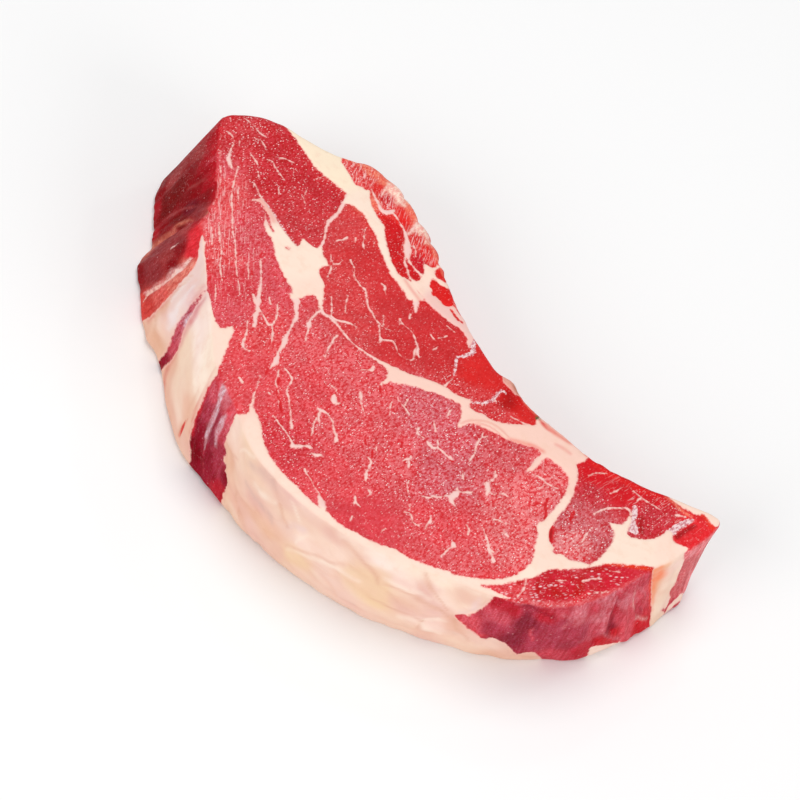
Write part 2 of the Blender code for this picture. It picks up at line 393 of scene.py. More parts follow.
# Seams: places along each line, with half its width there
SEAMS = [
    # between the blade muscle and the muscle behind the star
    [(-65.5, 50, 1.2), (-64.3, 46.5, 0.9), (-63, 43, 0.7), (-62, 40, 0.7), (-61.5, 37, 0.9),
     (-61, 33.5, 0.9), (-59.5, 30.5, 0.55), (-57.5, 27.5, 0.45), (-55.8, 25, 0.45), (-55, 23, 0.6),
     (-54, 21, 1.2)],
    # the long white line down the blade end, thinner ones to its left, and the flecks beside it
    [(-101, 24.9, 0.3), (-97.3, 18.9, 0.3), (-93, 12.9, 0.3), (-89.6, 9.3, 0.35), (-85, 4.8, 0.35),
     (-81.2, 0.8, 0.3), (-75.2, -3.9, 0.22), (-69.7, -9.2, 0.2), (-65, -13.5, 0.15), (-60.4, -17.2, 0.15),
     (-57.5, -20, 0.1)],
    [(-86, -1.6, 0.15), (-83.5, -4, 0.25), (-80.5, -6.8, 0.25), (-77, -9.6, 0.2), (-74.2, -12.5, 0.3),
     (-72, -15.5, 0.2), (-69, -18.2, 0.25), (-65.5, -20.8, 0.15)],
    [(-88.2, -4.3, 0.15), (-85.5, -6.1, 0.25), (-82.8, -8.5, 0.25), (-80.5, -11.2, 0.15)],
    [(-66, -24, 0.1), (-63.5, -26.5, 0.2), (-61, -29.5, 0.15)],
    [(-66, -6.4, 0.1), (-63.5, -8.7, 0.2), (-60.3, -12.2, 0.1)],
    [(-112.5, 26.8, 0.15), (-108.5, 22.5, 0.25), (-105, 19.2, 0.2), (-101, 14.8, 0.25), (-97, 10.9, 0.15)],
    [(-94, 17.5, 0.1), (-91.5, 14.8, 0.2), (-89, 12.5, 0.1)],
    [(-110, 31, 0.15), (-108.5, 28.5, 0.3), (-107, 26, 0.7), (-105, 24, 1), (-103, 23, 0.7),
     (-102, 22.3, 0.1)],
    [(-92, 24.2, 0.2), (-88, 22.3, 0.3), (-84, 20.6, 0.4)],
    # down the middle of the front strip
    [(-65, -0.5, 0.2), (-62.5, -3, 0.4), (-60, -5.5, 0.25), (-57.5, -8, 0.3), (-55.5, -10.5, 0.7),
     (-54, -12.5, 0.7), (-52.5, -14.5, 0.8), (-51, -17, 1.3), (-49.5, -18.5, 0.7), (-48, -20.5, 0.8),
     (-47, -22.5, 0.9), (-45, -24.5, 0.6), (-44, -26.5, 0.7)],
    [(-54.5, -15.5, 0.4), (-52, -17, 0.9)],
    [(-49.5, -18.5, 0.5), (-46, -19.5, 0.3), (-43.5, -20.5, 0.4), (-41.5, -21.3, 0.5), (-40.5, -20.3, 0.5),
     (-41.2, -17.5, 0.3), (-43, -14.5, 0.3), (-46, -11, 0.2)],
    [(-40.5, -20.5, 0.3), (-38, -22.5, 0.3), (-36, -25, 0.3), (-34.8, -26.5, 0.15)],
    [(-50, -11.5, 0.3), (-47.5, -13.7, 0.5)],
    # down the left of the eye
    [(-45.5, -3.5, 1.2), (-43, -4, 1.6), (-41, -6, 1), (-40, -7.5, 0.7), (-38, -9, 0.8),
     (-36.8, -11.5, 0.7), (-35.5, -14.5, 0.5), (-34.3, -18, 0.5), (-33.3, -20.3, 0.9), (-32, -22.5, 1),
     (-31, -25, 0.6), (-30.3, -27.5, 0.5), (-29, -29.5, 0.8), (-28, -31.5, 1.2), (-27.5, -33.5, 0.5),
     (-27, -35.5, 0.15)],
    [(-34, -0.5, 0.7), (-34, -3.5, 0.4), (-33.3, -6.5, 0.6), (-32, -9, 0.9), (-30.7, -10.5, 0.4),
     (-29.5, -13, 0.25), (-28, -15, 0.15)],
    # between the eye and the muscle above it
    [(-36, 2, 0.8), (-33, 0, 0.7), (-28, 0.3, 0.5), (-23, -0.5, 0.4), (-17, -1.5, 0.4), (-10, -1, 0.4),
     (-4, 0, 0.7), (0, 1, 1)],
    [(-22.3, -3.8, 0.4), (-22, -5.5, 0.5), (-21, -8.5, 0.4), (-20.2, -11, 0.3), (-19.3, -13, 0.25),
     (-18.3, -14.8, 0.4)],
    [(-4, -3.8, 0.5), (-3, -5, 0.6), (-4.5, -6.5, 0.3), (-6, -8.5, 0.4)],
    [(3, -6, 0.6), (3.2, -7.5, 0.3), (4.2, -9, 0.25)],
    [(-17, 36, 1.5), (-13.5, 31.5, 1.1), (-11.3, 29, 0.4)],
    # silverskin of the front strip and the corner of the cap
    [(-47, -26.5, 0.2), (-45, -29, 0.25), (-44, -30, 0.3), (-42.5, -32.5, 0.45), (-41.5, -35, 0.5),
     (-39.5, -36.7, 0.5), (-37, -36, 0.3)],
    [(-31, -47.8, 0.6), (-29, -48, 0.5)],
    [(-27, -41, 0.15), (-24, -46, 0.2), (-22.5, -49, 0.35), (-20.5, -52, 0.5), (-20, -53, 0.9)],
    [(-31, -54.3, 0.5), (-28.5, -56.3, 0.8), (-26, -57.8, 0.8), (-22, -59, 0.6)],
    # the fringe
    [(-62.5, 60.5, 0.3), (-59.5, 58.8, 0.5), (-57, 57.7, 0.55), (-54.5, 56.3, 0.7), (-52, 55.9, 1.0),
     (-50.4, 57.3, 1.3), (-50.1, 59.3, 0.8), (-50.4, 60.4, 0.2)],
    [(-49, 58.5, 0.5), (-46.5, 57.9, 0.35), (-44, 57, 0.35), (-41.5, 56, 0.4), (-39.5, 54.9, 0.55),
     (-38.2, 54, 0.6), (-36.3, 52.2, 1.2), (-34.6, 50.4, 1.6), (-32.8, 48.3, 1.5), (-31.2, 46.7, 0.9),
     (-29.3, 45.6, 0.5), (-26, 44.9, 0.35), (-23.5, 44.7, 0.4), (-21.8, 44.6, 0.6)],
    [(-31.5, 46, 0.6), (-30.5, 44.2, 0.4), (-28.5, 42.8, 0.35), (-26, 41.2, 0.35), (-24.5, 40.2, 0.5),
     (-23.5, 39.5, 0.8)],
    [(-33.5, 53, 0.3), (-31, 51.5, 0.35), (-29.5, 49.5, 0.3)],
    [(-40.4, 66, 0.5), (-39.8, 62, 0.35), (-39.3, 59, 0.35), (-38.7, 56.3, 0.2)],
    # the tail
    [(91, 14.5, 0.15), (91.3, 17.5, 0.3), (92.3, 20.5, 0.35), (93.7, 23, 0.35), (95.5, 25.3, 0.35),
     (97.2, 27.2, 0.45), (98.8, 26.8, 0.4)],
    [(94, 35.3, 0.3), (97, 35.5, 0.35), (100, 36, 0.25), (104, 37, 0.25), (105.8, 37.3, 0.2)],
    [(97.7, 35.4, 0.4), (97.4, 33.8, 0.35), (97.9, 32.4, 0.1)],
    [(111, 40.2, 0.4), (111.8, 41.3, 0.4), (113.7, 42.7, 0.3)],
    [(78.8, 26.5, 0.2), (79.3, 29, 0.3), (81, 31.5, 0.3), (82.3, 33, 0.25)],
    [(90.2, 34, 0.15), (89.8, 30.5, 0.25), (89, 27, 0.15)],
    [(94.3, 9, 0.2), (94.9, 4.5, 0.35), (96, 0.5, 0.15)],
    # the corner
    [(93, -27.5, 0.2), (94.3, -30, 0.3), (95.3, -33, 0.35), (95.5, -35.7, 0.3)],
    [(117.3, -3.8, 0.4), (115.8, -6.5, 0.3), (113.5, -10, 0.25), (111.5, -13.5, 0.15)],
    [(106.5, -11.5, 0.2), (108.5, -7.7, 0.35), (110.5, -5, 0.2)],
    [(110.3, 0, 0.15), (113, 3, 0.25)],
    [(100, -19.5, 0.1), (102.6, -16.3, 0.3)],
]

# Marbling, drawn the same way
BLADE_MARBLING = [
    [(-116, 34.5, 0.3), (-113.5, 34.3, 0.4), (-111, 33, 0.2), (-109.5, 30.5, 0.15)],
    [(-117.5, 45, 0.2), (-112, 45.3, 0.25), (-108.5, 44.6, 0.4), (-105.5, 45.2, 0.2)],
    [(-107, 41, 0.2), (-105, 42.2, 0.4), (-102, 41.4, 0.35)],
    [(-103.2, 33.8, 0.3), (-100.5, 33.2, 0.6), (-97.4, 32.2, 0.3)],
    [(-97, 37.4, 0.2), (-95, 38.2, 0.45), (-93, 37, 0.4), (-89, 36, 0.3), (-86, 35.2, 0.15)],
    [(-94.8, 42, 0.2), (-93.5, 43.4, 0.35), (-89.7, 44.8, 0.2)],
    [(-95, 29.7, 0.2), (-93, 28, 0.45)],
    [(-84.5, 30.2, 0.2), (-82.3, 28.3, 0.35)],
    [(-110, 35, 0.25), (-108.3, 33.1, 0.35)],
    [(-77, 38, 0.3), (-75.5, 35, 0.2), (-73, 33, 0.1)],
    [(-78, 50, 0.2), (-79, 46, 0.25)],
]
EYE_MARBLING = [
    [(0.5, -16, 0.3), (2, -17, 0.9), (3.5, -18.8, 0.3), (6, -20.5, 0.35), (8, -21.8, 0.15)],
    [(-8, -22.5, 0.3), (-5.5, -22.3, 0.4)],
    [(-4.5, -24.5, 0.6), (-3, -26.5, 1.2), (-1.5, -26.8, 0.8), (-0.7, -25.5, 0.3)],
    [(-24, -31, 0.2), (-21.5, -31.3, 0.4), (-19, -32.2, 0.45), (-18, -33.8, 0.4), (-17.5, -36, 0.35),
     (-15.5, -38.3, 0.4), (-12.5, -40.5, 0.35), (-9.5, -43, 0.35), (-7, -45.5, 0.4), (-5, -47.3, 0.6),
     (-4, -48, 0.6)],
    [(-24.8, -33, 0.2), (-23.5, -35, 0.4), (-22.5, -37, 0.3), (-21, -38.8, 0.25), (-18.5, -40, 0.25),
     (-16.5, -42, 0.2), (-14, -44.5, 0.2)],
    [(-4, -34, 0.6), (-2, -33, 0.5), (0, -32.8, 0.35), (3, -33.8, 0.4), (5, -35.5, 0.45), (7.5, -37, 0.6),
     (9, -38, 0.8), (10, -39.8, 0.5)],
    [(-2.8, -34, 0.5), (-1.5, -36.5, 0.6), (1, -38.5, 0.25)],
    [(-1.5, -37.5, 0.4), (-0.5, -40, 0.3), (1.5, -43, 0.5), (2.5, -45, 0.3)],
    [(-20, -43.8, 0.5), (-18.7, -43.7, 0.3)],
    [(-12, -49.5, 0.2), (-8, -50.5, 0.35), (-4, -51.3, 0.3), (0, -52.5, 0.4), (1.5, -53.5, 1.1),
     (3, -52, 0.9), (4, -50.5, 0.7), (5.5, -49, 0.9)],
    [(8, -50.5, 0.5), (9.5, -49.7, 0.9), (10.5, -48.3, 0.6)],
    [(11, -57.5, 0.4), (13, -58.4, 0.35), (15.5, -59, 0.3), (18, -60.2, 0.3), (21.5, -61, 0.4),
     (23, -62.3, 0.9), (25, -63.5, 1.6), (27, -64.5, 1)],
    [(11, -6.8, 0.2), (13, -7.5, 0.3), (15.5, -7.8, 0.5), (18, -8.5, 0.5), (19.5, -9, 0.3)],
    [(14, -4, 0.25), (15, -7, 0.4)],
    [(11, -10, 0.3), (12.5, -12.5, 0.35), (14.3, -14.7, 0.2)],
    [(25, -10.3, 0.5), (26.3, -12.5, 0.4), (29, -12.3, 0.25)],
    [(31, -12.5, 0.5), (34, -12.8, 0.7), (35.5, -11.5, 0.6), (37, -11.2, 0.4), (40.5, -11.3, 0.35)],
    [(33, -9, 0.5), (34.5, -10, 0.5), (35, -11.5, 0.5)],
    [(40.5, -10.3, 0.3), (42, -11, 0.5)],
    [(26.5, -3.5, 0.3), (27.5, -4.5, 0.6), (29, -5.5, 0.7), (30, -6.5, 0.3)],
    [(41.5, 7.5, 0.4), (42.5, 6, 0.5), (43.5, 8, 0.4)],
    [(42.5, 6, 0.4), (43, 3, 0.4), (44, 0.5, 0.45), (45.3, -1.5, 0.4), (46, -4, 0.5), (47, -7, 0.25)],
    [(27, 6, 0.3), (27.5, 4, 0.45), (28.3, 2, 0.3)],
    [(48, -11.5, 0.2), (49.5, -13.3, 0.35), (50.5, -14, 0.3)],
    [(55.5, -1.5, 0.3), (57, -3, 0.6), (57.3, -5, 0.4), (57.2, -7.5, 0.5), (58, -9, 0.9),
     (59.5, -10.5, 1.1), (60, -12, 0.7)],
    [(60, -10.3, 0.5), (61.7, -10, 0.35), (62.7, -8, 0.3), (64, -6.5, 0.4), (65.5, -6.3, 0.2)],
    [(56.5, -7.8, 0.4), (56.5, -9.3, 0.2)],
    [(68.5, -7, 0.4), (67, -6, 0.3)],
    [(56, -15.7, 0.5), (55, -17.3, 0.6), (53.5, -19, 0.5), (52, -19.5, 0.7), (51.2, -18.5, 0.3)],
    [(52.8, -20, 0.9), (52.8, -22, 1.5), (53, -24, 1.2), (55, -25.5, 0.7), (56.5, -25.5, 0.3)],
    [(51.5, -24.5, 0.6), (50.5, -26.5, 0.4), (49.5, -28.3, 0.5), (48.3, -28.8, 0.6), (48, -30.5, 0.35),
     (46, -32, 0.3), (44.5, -33, 0.15)],
    [(69, -18, 0.5), (70, -17, 0.4), (72, -16.5, 0.4), (74, -14.8, 0.25)],
    [(73.5, -18.2, 0.25), (75, -19, 0.4), (77, -19.6, 0.5), (75, -20, 0.3), (73, -21.2, 0.25)],
    [(68.5, -24, 0.2), (70, -25, 0.4), (72.5, -26.5, 0.6), (74.5, -28, 0.8), (76, -29.3, 0.5),
     (78, -29, 0.5)],
    [(75.5, -29.5, 0.5), (79, -31, 0.5), (80.5, -32, 1)],
    [(64, -28.3, 0.4), (66, -29, 0.5), (67.3, -31, 0.35)],
    [(53.8, -36.5, 0.6), (54.8, -38, 0.9), (55, -40, 0.4), (55.8, -41.8, 0.3)],
    [(66, -38, 0.5), (67, -38.8, 1), (66.8, -41, 0.4), (67, -43.5, 0.35), (67, -45.5, 0.3)],
    [(31, -26, 0.3), (31.5, -24.5, 0.6), (32, -23.5, 0.6), (31.5, -22, 0.3)],
    [(32, -24, 0.3), (33.5, -25.5, 0.4), (34.2, -26.8, 0.2)],
    [(38.2, -31, 0.2), (39.7, -33.5, 0.35), (41.3, -35, 0.45)],
    [(22, -35, 0.25), (24, -35.8, 0.5), (25, -38, 0.45), (26, -40.5, 0.5), (27.5, -42.5, 0.9),
     (28.3, -43.3, 0.4)],
    [(20.8, -29.3, 0.2), (22, -30.5, 0.3)],
    [(31, -45.5, 0.3), (33, -46.2, 0.7), (33.2, -48, 0.3)],
    [(30, -51, 0.3), (32, -53, 0.6), (34.5, -53.3, 0.3)],
    [(32, -53.5, 0.4), (32.8, -55, 0.2)],
    [(45.3, -38.3, 0.3), (47, -40.5, 0.3)],
    [(46, -43, 0.2), (47.5, -41.5, 0.35), (49.5, -42, 0.3), (51, -43.3, 0.4), (53.5, -42.8, 0.3)],
    [(46.5, -53, 0.4), (46.5, -55, 0.4)],
    [(35.5, -58.5, 0.3), (36.3, -60.5, 0.3)],
    [(65, 9, 0.4), (68, 10.5, 0.5), (71, 10.5, 0.5), (75, 12, 0.4)],
    [(71, 9, 0.4), (70.8, 6, 0.2)],
]
MID_MARBLING = [
    [(-43.5, 27, 0.4), (-41, 25.8, 0.3), (-39.5, 25, 0.3), (-38, 23, 0.35), (-36, 22, 0.4), (-33, 21, 0.35),
     (-30.5, 21, 0.5), (-28.5, 19.5, 0.4), (-26, 17.5, 0.4), (-24, 16, 0.45), (-21, 15, 0.4),
     (-19, 14, 0.3), (-15.5, 13.5, 0.35), (-13, 13.8, 0.3), (-11, 15, 0.15)],
    [(-16, 13, 0.3), (-14, 11, 0.3), (-12, 9, 0.35), (-10.5, 8, 0.9), (-10, 6.5, 0.4)],
    [(-10.5, 8.3, 0.6), (-8.5, 10.5, 0.5), (-7.5, 11.5, 0.4), (-5, 10.5, 0.25), (-3, 9, 0.25),
     (0, 8.8, 0.2), (2.5, 10, 0.3), (2.8, 11.5, 0.25), (1.5, 13.5, 0.25), (0.5, 15, 0.3), (0, 17, 0.3)],
    [(-13, 21.8, 0.4), (-10.5, 20.8, 0.3), (-7, 21, 0.35), (-4, 20, 0.35), (-2, 18.5, 0.6), (0.5, 17, 0.7),
     (1.5, 15.5, 0.8), (3.5, 14, 0.3)],
    [(-12.7, 21.5, 0.3), (-11.3, 19.5, 0.2)],
    [(-18, 18, 0.2), (-16, 15.5, 0.25), (-15, 14.5, 0.2)],
    [(-32.5, 13.7, 0.3), (-31, 11, 0.35), (-29, 8.5, 0.3), (-27.5, 6.5, 0.15)],
    [(-36, 8, 0.2), (-34, 6, 0.35), (-32, 4, 0.35), (-30.5, 2, 0.4), (-29, 1, 0.5), (-27, 1.8, 0.5),
     (-25, 3.5, 0.5), (-23, 4.5, 0.4), (-21, 5, 0.3), (-20, 4.5, 0.2)],
    [(-28.5, 28.5, 0.3), (-27, 28.5, 0.5), (-25.5, 27, 0.5), (-24, 26, 0.2)],
    [(-50.5, 44, 0.35), (-49, 41, 0.3), (-47, 38.5, 0.3), (-45.5, 36.5, 0.4), (-44, 35.5, 0.3)],
    [(-49.5, 36.5, 0.3), (-48, 34.8, 0.4)],
    [(-44, 41.5, 0.3), (-42.5, 39, 0.2)],
    [(-51.7, 34, 0.5), (-52, 31.5, 0.4), (-53, 29.5, 0.25)],
    [(-45.3, 24.5, 0.3), (-45, 22, 0.35), (-46, 20, 0.5)],
    [(-50, 23, 0.2), (-48, 21, 0.35), (-46.5, 20.5, 0.4)],
    [(-46, 19, 0.4), (-44.5, 16.5, 0.35), (-43.3, 13.8, 0.25)],
    [(2, 27, 0.3), (3, 29, 0.35), (3.3, 31, 0.3)],
    [(0, 34.7, 0.2), (4, 35, 0.3)],
    [(4.5, 24, 0.3), (4.7, 21, 0.3)],
    [(-1, 26, 0.2), (2, 25.3, 0.3)],
    [(-12, 27, 0.3), (-11, 25, 0.4)],
    [(18, 17, 0.3), (18.2, 14, 0.35), (18.5, 12, 0.6)],
    [(33.5, 23.5, 0.3), (35, 23, 0.3)],
    [(32.8, 18, 0.3), (33.8, 16, 0.3)],
    [(43, 22.5, 0.3), (46, 23.5, 0.3), (48.5, 24.5, 0.3)],
]
MARBLING = BLADE_MARBLING + EYE_MARBLING + MID_MARBLING
THIN = 0.08  # marbling is this much thinner than drawn

# Films of silverskin, and short cuts in the meat
SILVER = [
    [(72.4, 26, 0.2), (75.2, 23.8, 0.4), (76.8, 20.9, 0.5), (78.5, 17.3, 0.4), (79.8, 13.9, 0.3),
     (80.6, 11.5, 0.2)],
    [(9.5, 39, 1.0), (12, 36.5, 1.1), (14, 34.5, 1.0), (14.3, 32, 0.9), (13.6, 29.5, 0.8), (12.6, 27, 0.6),
     (13.2, 24.8, 0.6), (14.8, 22.6, 0.5), (16.4, 20.3, 0.35), (17.3, 18.6, 0.2)],
    [(34.8, 29.2, 0.3), (33.8, 29.6, 0.4), (32.9, 28.4, 0.55), (33.1, 26.6, 0.6), (33.3, 24.8, 0.6),
     (33.8, 22.4, 0.7), (33, 19, 0.55), (31, 16.2, 0.4), (29.7, 14.4, 0.35)],
    [(98.6, 30.1, 0.8), (100.4, 28, 1.2), (101.4, 26, 1.0), (102.1, 24, 1.2), (103.3, 22.2, 2.2),
     (105.2, 21.6, 1.5)],
    [(116.2, 43.6, 0.8), (115.3, 40.5, 1.3), (114.7, 36.5, 1.4), (114.4, 33, 1.5), (114.3, 30.5, 1.2)],
    [(-84, 21.1, 0.1), (-76, 19.1, 0.25), (-68, 16.6, 0.25), (-61, 15.4, 0.1)],
]
SLITS = [
    [(-66.5, 1.8, 0.2), (-65.2, -0.4, 0.3)],
    [(-62.8, -7.7, 0.2), (-61, -9.2, 0.25)],
    [(-22.2, -35.6, 0.2), (-21.4, -37, 0.45), (-20.2, -38.3, 0.2)],
    [(-19, -40.6, 0.15), (-17.1, -41.9, 0.3), (-15.3, -42.9, 0.2)],
    [(-14.6, -43, 0.25), (-12.8, -44.8, 0.55), (-11, -46, 0.25)],
    [(3.5, -8, 0.3), (5.5, -10.5, 0.3)],
    [(42, -11.8, 0.3), (43, -11.2, 0.3)],
    [(21.3, -32, 0.3), (23, -34, 0.3)],
    [(25.5, -20, 0.3), (26.5, -22, 0.3)],
    [(16, -30, 0.3), (17.5, -31.5, 0.3)],
    [(75.5, 6, 0.3), (77, 2.5, 0.4), (78.5, 1, 0.4), (80, -1, 0.4), (80.5, -2.5, 0.3)],
    [(74.5, 1.5, 0.3), (74.3, -1, 0.3)],
    [(64, -12.3, 0.3), (65, -14, 0.3)],
    [(85.4, 9.3, 0.3), (86.2, 7, 0.5), (86.9, 5, 0.4)],
    [(84.8, -2.6, 0.4), (86, -5, 0.8), (88.4, -8, 0.5)],
    [(101, -3.5, 0.4), (101.5, -4.5, 0.3)],
    [(-27.5, -36, 0.3), (-26, -39, 0.3)],
]

# The lean of the cut face: each colour, and the places that have it, with the strength of
# their pale specks, which are partly fat and partly painted glints
FACE_LEAN = [
    (BLADE_PALE, [(-110, 42, 1.0), (-75, 30, 0.75), (-66, 24, 0.7), (-112, 33, 0.9), (-118, 38, 0.8)]),
    (BLADE, [(-100, 45, 0.9), (-85, 42, 0.8), (-88, 30, 0.9), (-70, 42, 0.7)]),
    (STRIP, [(-104, 17, 0.6), (-79, 8, 0.7), (-72, 2, 0.7), (-54, -3, 0.6), (-52, -28, 0.6)]),
    (STRIP_WARM, [(-99, 13, 0.7), (-93, 8, 0.7), (-76, -12, 0.8), (-42, -27, 0.8)]),
    (STRIP_SHEEN, [(-86, -3, 0.6)]),
    (EYE_DEEP, [(-62, -18, 0.6), (-1, -58, 0.8), (38, -57, 0.3)]),
    (EYE_RED, [(-33, -44, 0.6), (-28, -52, 0.5), (60, -36, 0.8), (-12, -28, 0.8), (20, -50, 0.7)]),
    (MID_PALE, [(-55, 40, 0.5), (-35, 17, 0.55), (-20, 10, 0.5), (20, 15.5, 0.9), (27, 18, 0.7),
        (38, 20, 0.9), (43, 20, 0.6)]),
    (MID, [(-38, 33, 0.32), (-20, 25, 0.28), (-5, 29, 0.28), (8, 20, 0.35), (-5, 12, 0.35)]),
    (GLOSS, [(24, 29, 0.12), (22, 23, 0.15), (46, 28, 0.12)]),
    (DEEP, [(39, 27, 0.12)]),
    (EYE, [(-25, -17, 0.8), (-10, -14, 0.9), (6, -12, 0.9), (30, -30, 1), (12, -32, 0.9), (72, -42, 0.8)]),
    (EYE_COOL, [(17, -1, 0.9), (24, 3, 0.9), (37, -4, 1.3), (44, -20, 0.9)]),
    (EYE_DIM, [(54, 8, 0.8)]),
    (EYE_WARM, [(70, 15, 0.9), (70, 2, 0.9), (83, -24, 1), (76, -12, 1)]),
    # the pale patch at (94, 0) is painted sheen, with many painted glints among its specks
    (TAIL_SHEEN, [(94, 0, 1.2)]),
    (TAIL_ROSE, [(88, 4, 1.2), (99, 8, 1.1), (90, 13, 0.6)]),
    (TAIL_DIM, [(85, 21, 0.8), (106, 33, 0.7)]),
    (TAIL_RED, [(80, 28, 0.2), (90, 32, 0.15), (100, 40, 0.4)]),
    (TIP_RED, [(120, 38, 0.3)]),
    (CORNER, [(101, -21, 0.6), (111, -1, 0.15)]),
    (CORNER_WARM, [(90, -37, 0.7)]),
    (FRINGE_PINK, [(-77, 62, 0.8), (-72, 63, 0.9), (-66, 61, 0.9), (-53, 59, 0.8), (-31, 51.5, 0.9)]),
    (FRINGE_SALMON, [(-70, 67.5, 0.6), (-62, 68, 0.3), (-46, 66, 0.2), (-41.8, 63.5, 0.2), (-31, 59.7, 0.2),
        (-24, 57, 0.2), (-57, 55.3, 0.3)]),
    (FRINGE_RED, [(-61, 63.5, 0.3), (-48.7, 62.5, 0.2), (-44, 61, 0.2), (-43, 58.5, 0.3), (-35, 57.5, 0.4),
        (-30, 57, 0.3), (-27.5, 54, 0.3), (-24, 54.5, 0.2), (-18, 51.5, 0.2), (-50, 52.6, 0.7),
        (-12, 45, 0.2)]),
    (FRINGE_CREAM, [(-56.5, 67.5, 0.2), (-51.5, 66, 0.2), (-37, 62, 0.2)]),
    (FRINGE_WINE, [(-55, 62, 0.8), (-27, 49, 0.4)]),
    (FRINGE_DARK, [(-42, 52, 0.3), (-30, 43, 0.4)]),
]

# The fat of the cut face: each colour, and the places that have it
FACE_FAT = [
    (CREAM_YELLOW, [(-95, 57), (-78, 56)]),
    (CREAM, [(-55, 50), (-35, 40), (-66, 13), (-52, 10), (91, -26), (112, 20), (106, 8), (-60, -35)]),
    (CREAM_WARM, [(-22, 36), (-20, 48), (-42, 5), (81, 4), (91, -16), (84, -43), (118, 24), (115, 47),
        (60, -56), (30, -66), (-8, -62), (-48, -40), (-78, -20)]),
    (CREAM_ROSE, [(-8, 39), (5, 40), (-80, 19)]),
    (CREAM_PINK, [(-4, 1), (15, 7), (30, 11), (44, 15), (55, 23), (62, 26), (62, 14), (75, 20),
        (-27, -57)]),
    (LUMP_PINK, [(33, 34.5)]),
]

# Lines of another colour over the lean and over the fat: colour, softness, places and widths
FACE_LEAN_LINES = [
    # the salmon lines along the fringe's edge, here and in the two rows like it below, are partly its
    # colour and partly painted light glowing through the thin edge
    (FRINGE_SALMON, 1.2, [(-80, 63, 0.2), (-74, 66.3, 0.4), (-68, 68.6, 0.4), (-62, 69, 0.6)]),
    (FRINGE_CREAM, 1.3, [(-60, 69, 0.8), (-57, 68, 1.4), (-53.5, 67.2, 1.2), (-51, 66.8, 0.6)]),
    (FRINGE_CREAM, 0.8, [(-59.6, 67, 0.5), (-59.2, 65, 0.3), (-58.3, 62.5, 0.3)]),
    (FRINGE_CREAM, 0.9, [(-50, 67.5, 0.6), (-49.4, 65.6, 0.3)]),
    (FRINGE_SALMON, 1.3, [(-50, 67.4, 0.3), (-45, 66, 0.5), (-41, 64.4, 0.4)]),
    (CREAM_PINK, 1.0, [(-40.4, 65.5, 1.0), (-39.7, 62, 0.6), (-39.2, 59, 0.5), (-38.6, 56, 0.2)]),
    (FRINGE_CREAM, 1.0, [(-38, 64, 0.8), (-34, 62, 0.6), (-30, 59.8, 0.4)]),
    (FRINGE_CREAM, 0.6, [(-33, 62, 0.3), (-32.3, 59.5, 0.3), (-31.7, 57.5, 0.1)]),
    (FRINGE_CREAM, 0.6, [(-36.3, 61, 0.3), (-35.8, 59, 0.2)]),
    (FRINGE_SALMON, 1.0, [(-30, 59.8, 0.4), (-26, 57.6, 0.4), (-22, 56, 0.4), (-17, 52.4, 0.3)]),
    (SCARLET, 1.8, [(-119, 33.5, 0.2), (-113, 24.5, 0.5), (-107.5, 18, 0.8), (-101, 11.5, 0.7),
        (-95, 4.5, 0.5), (-92, -2, 0.2)]),
    (FRINGE_RED, 1.6, [(76, 32.5, 0.8), (82, 33.5, 0.6), (88, 35.6, 0.6), (95, 38.3, 0.7),
        (101, 41.5, 0.6)]),
    (FRINGE_SALMON, 0.9, [(104, 43.8, 0.3), (108, 43.9, 0.5), (112, 43.9, 0.4), (115, 44.6, 0.2)]),
    (CORNER_PINK, 1.5, [(96, -36, 0.6), (101, -32.6, 0.8), (105.5, -28.2, 0.8), (109, -23.2, 0.7),
        (112.4, -17.8, 0.6), (114.6, -12, 0.5), (116.6, -6, 0.5), (118.6, 2, 0.4), (119.6, 9, 0.3)]),
    (CORNER_DARK, 2.0, [(100.7, -20.8, 0.6), (103.6, -23.6, 1.2), (106, -20.5, 0.5)]),
    (CORNER_DARK, 2.0, [(105.6, -10.4, 0.5), (108.6, -16.2, 1.1), (108, -19, 0.5)]),
    (CORNER_DARK, 1.2, [(104.6, -7.5, 0.4), (106.6, -3.6, 0.7), (109.5, 0.5, 0.4)]),
    (CORNER_DARK, 1.0, [(96.8, -25.2, 0.5), (98.8, -27.9, 0.8)]),
    (CORNER_DARK, 0.7, [(92.8, -29.5, 0.2), (92.2, -31.3, 0.5)]),
    (SCARLET, 1.0, [(111.2, -12.8, 0.5), (110.7, -17, 0.8), (110, -20, 0.5)]),
    (DARK_PATCH, 3.5, [(36, 30, 0.5), (38.3, 27.5, 1.0), (37.5, 24, 0.5)]),
    (FRINGE_SALMON, 1.0, [(40, 33.3, 0.3), (44, 32.4, 0.5), (48.4, 32, 0.3)]),
    (TAIL_EDGE, 1.6, [(116.5, 48.6, 0.2), (120, 48.6, 0.4), (124, 47, 0.3)]),
    (SILVER_SHADE, 1.2, [(118.6, 42.5, 0.3), (117.6, 37.5, 0.6), (117.2, 33, 0.8)]),
    (SILVER_SHADE, 1.2, [(103.5, 28.5, 0.4), (105, 25.5, 0.7), (107.5, 23.5, 0.5)]),
    (STRIPE_RED, 0.9, [(106.8, 0.6, 0.3), (110, 4.2, 0.5), (113.5, 7.8, 0.6), (117, 11.4, 0.7),
        (120.3, 15, 0.6)]),
    (HERB, 0.3, [(49.2, 31.2, 0.5), (49.6, 30.5, 0.5)]),
]
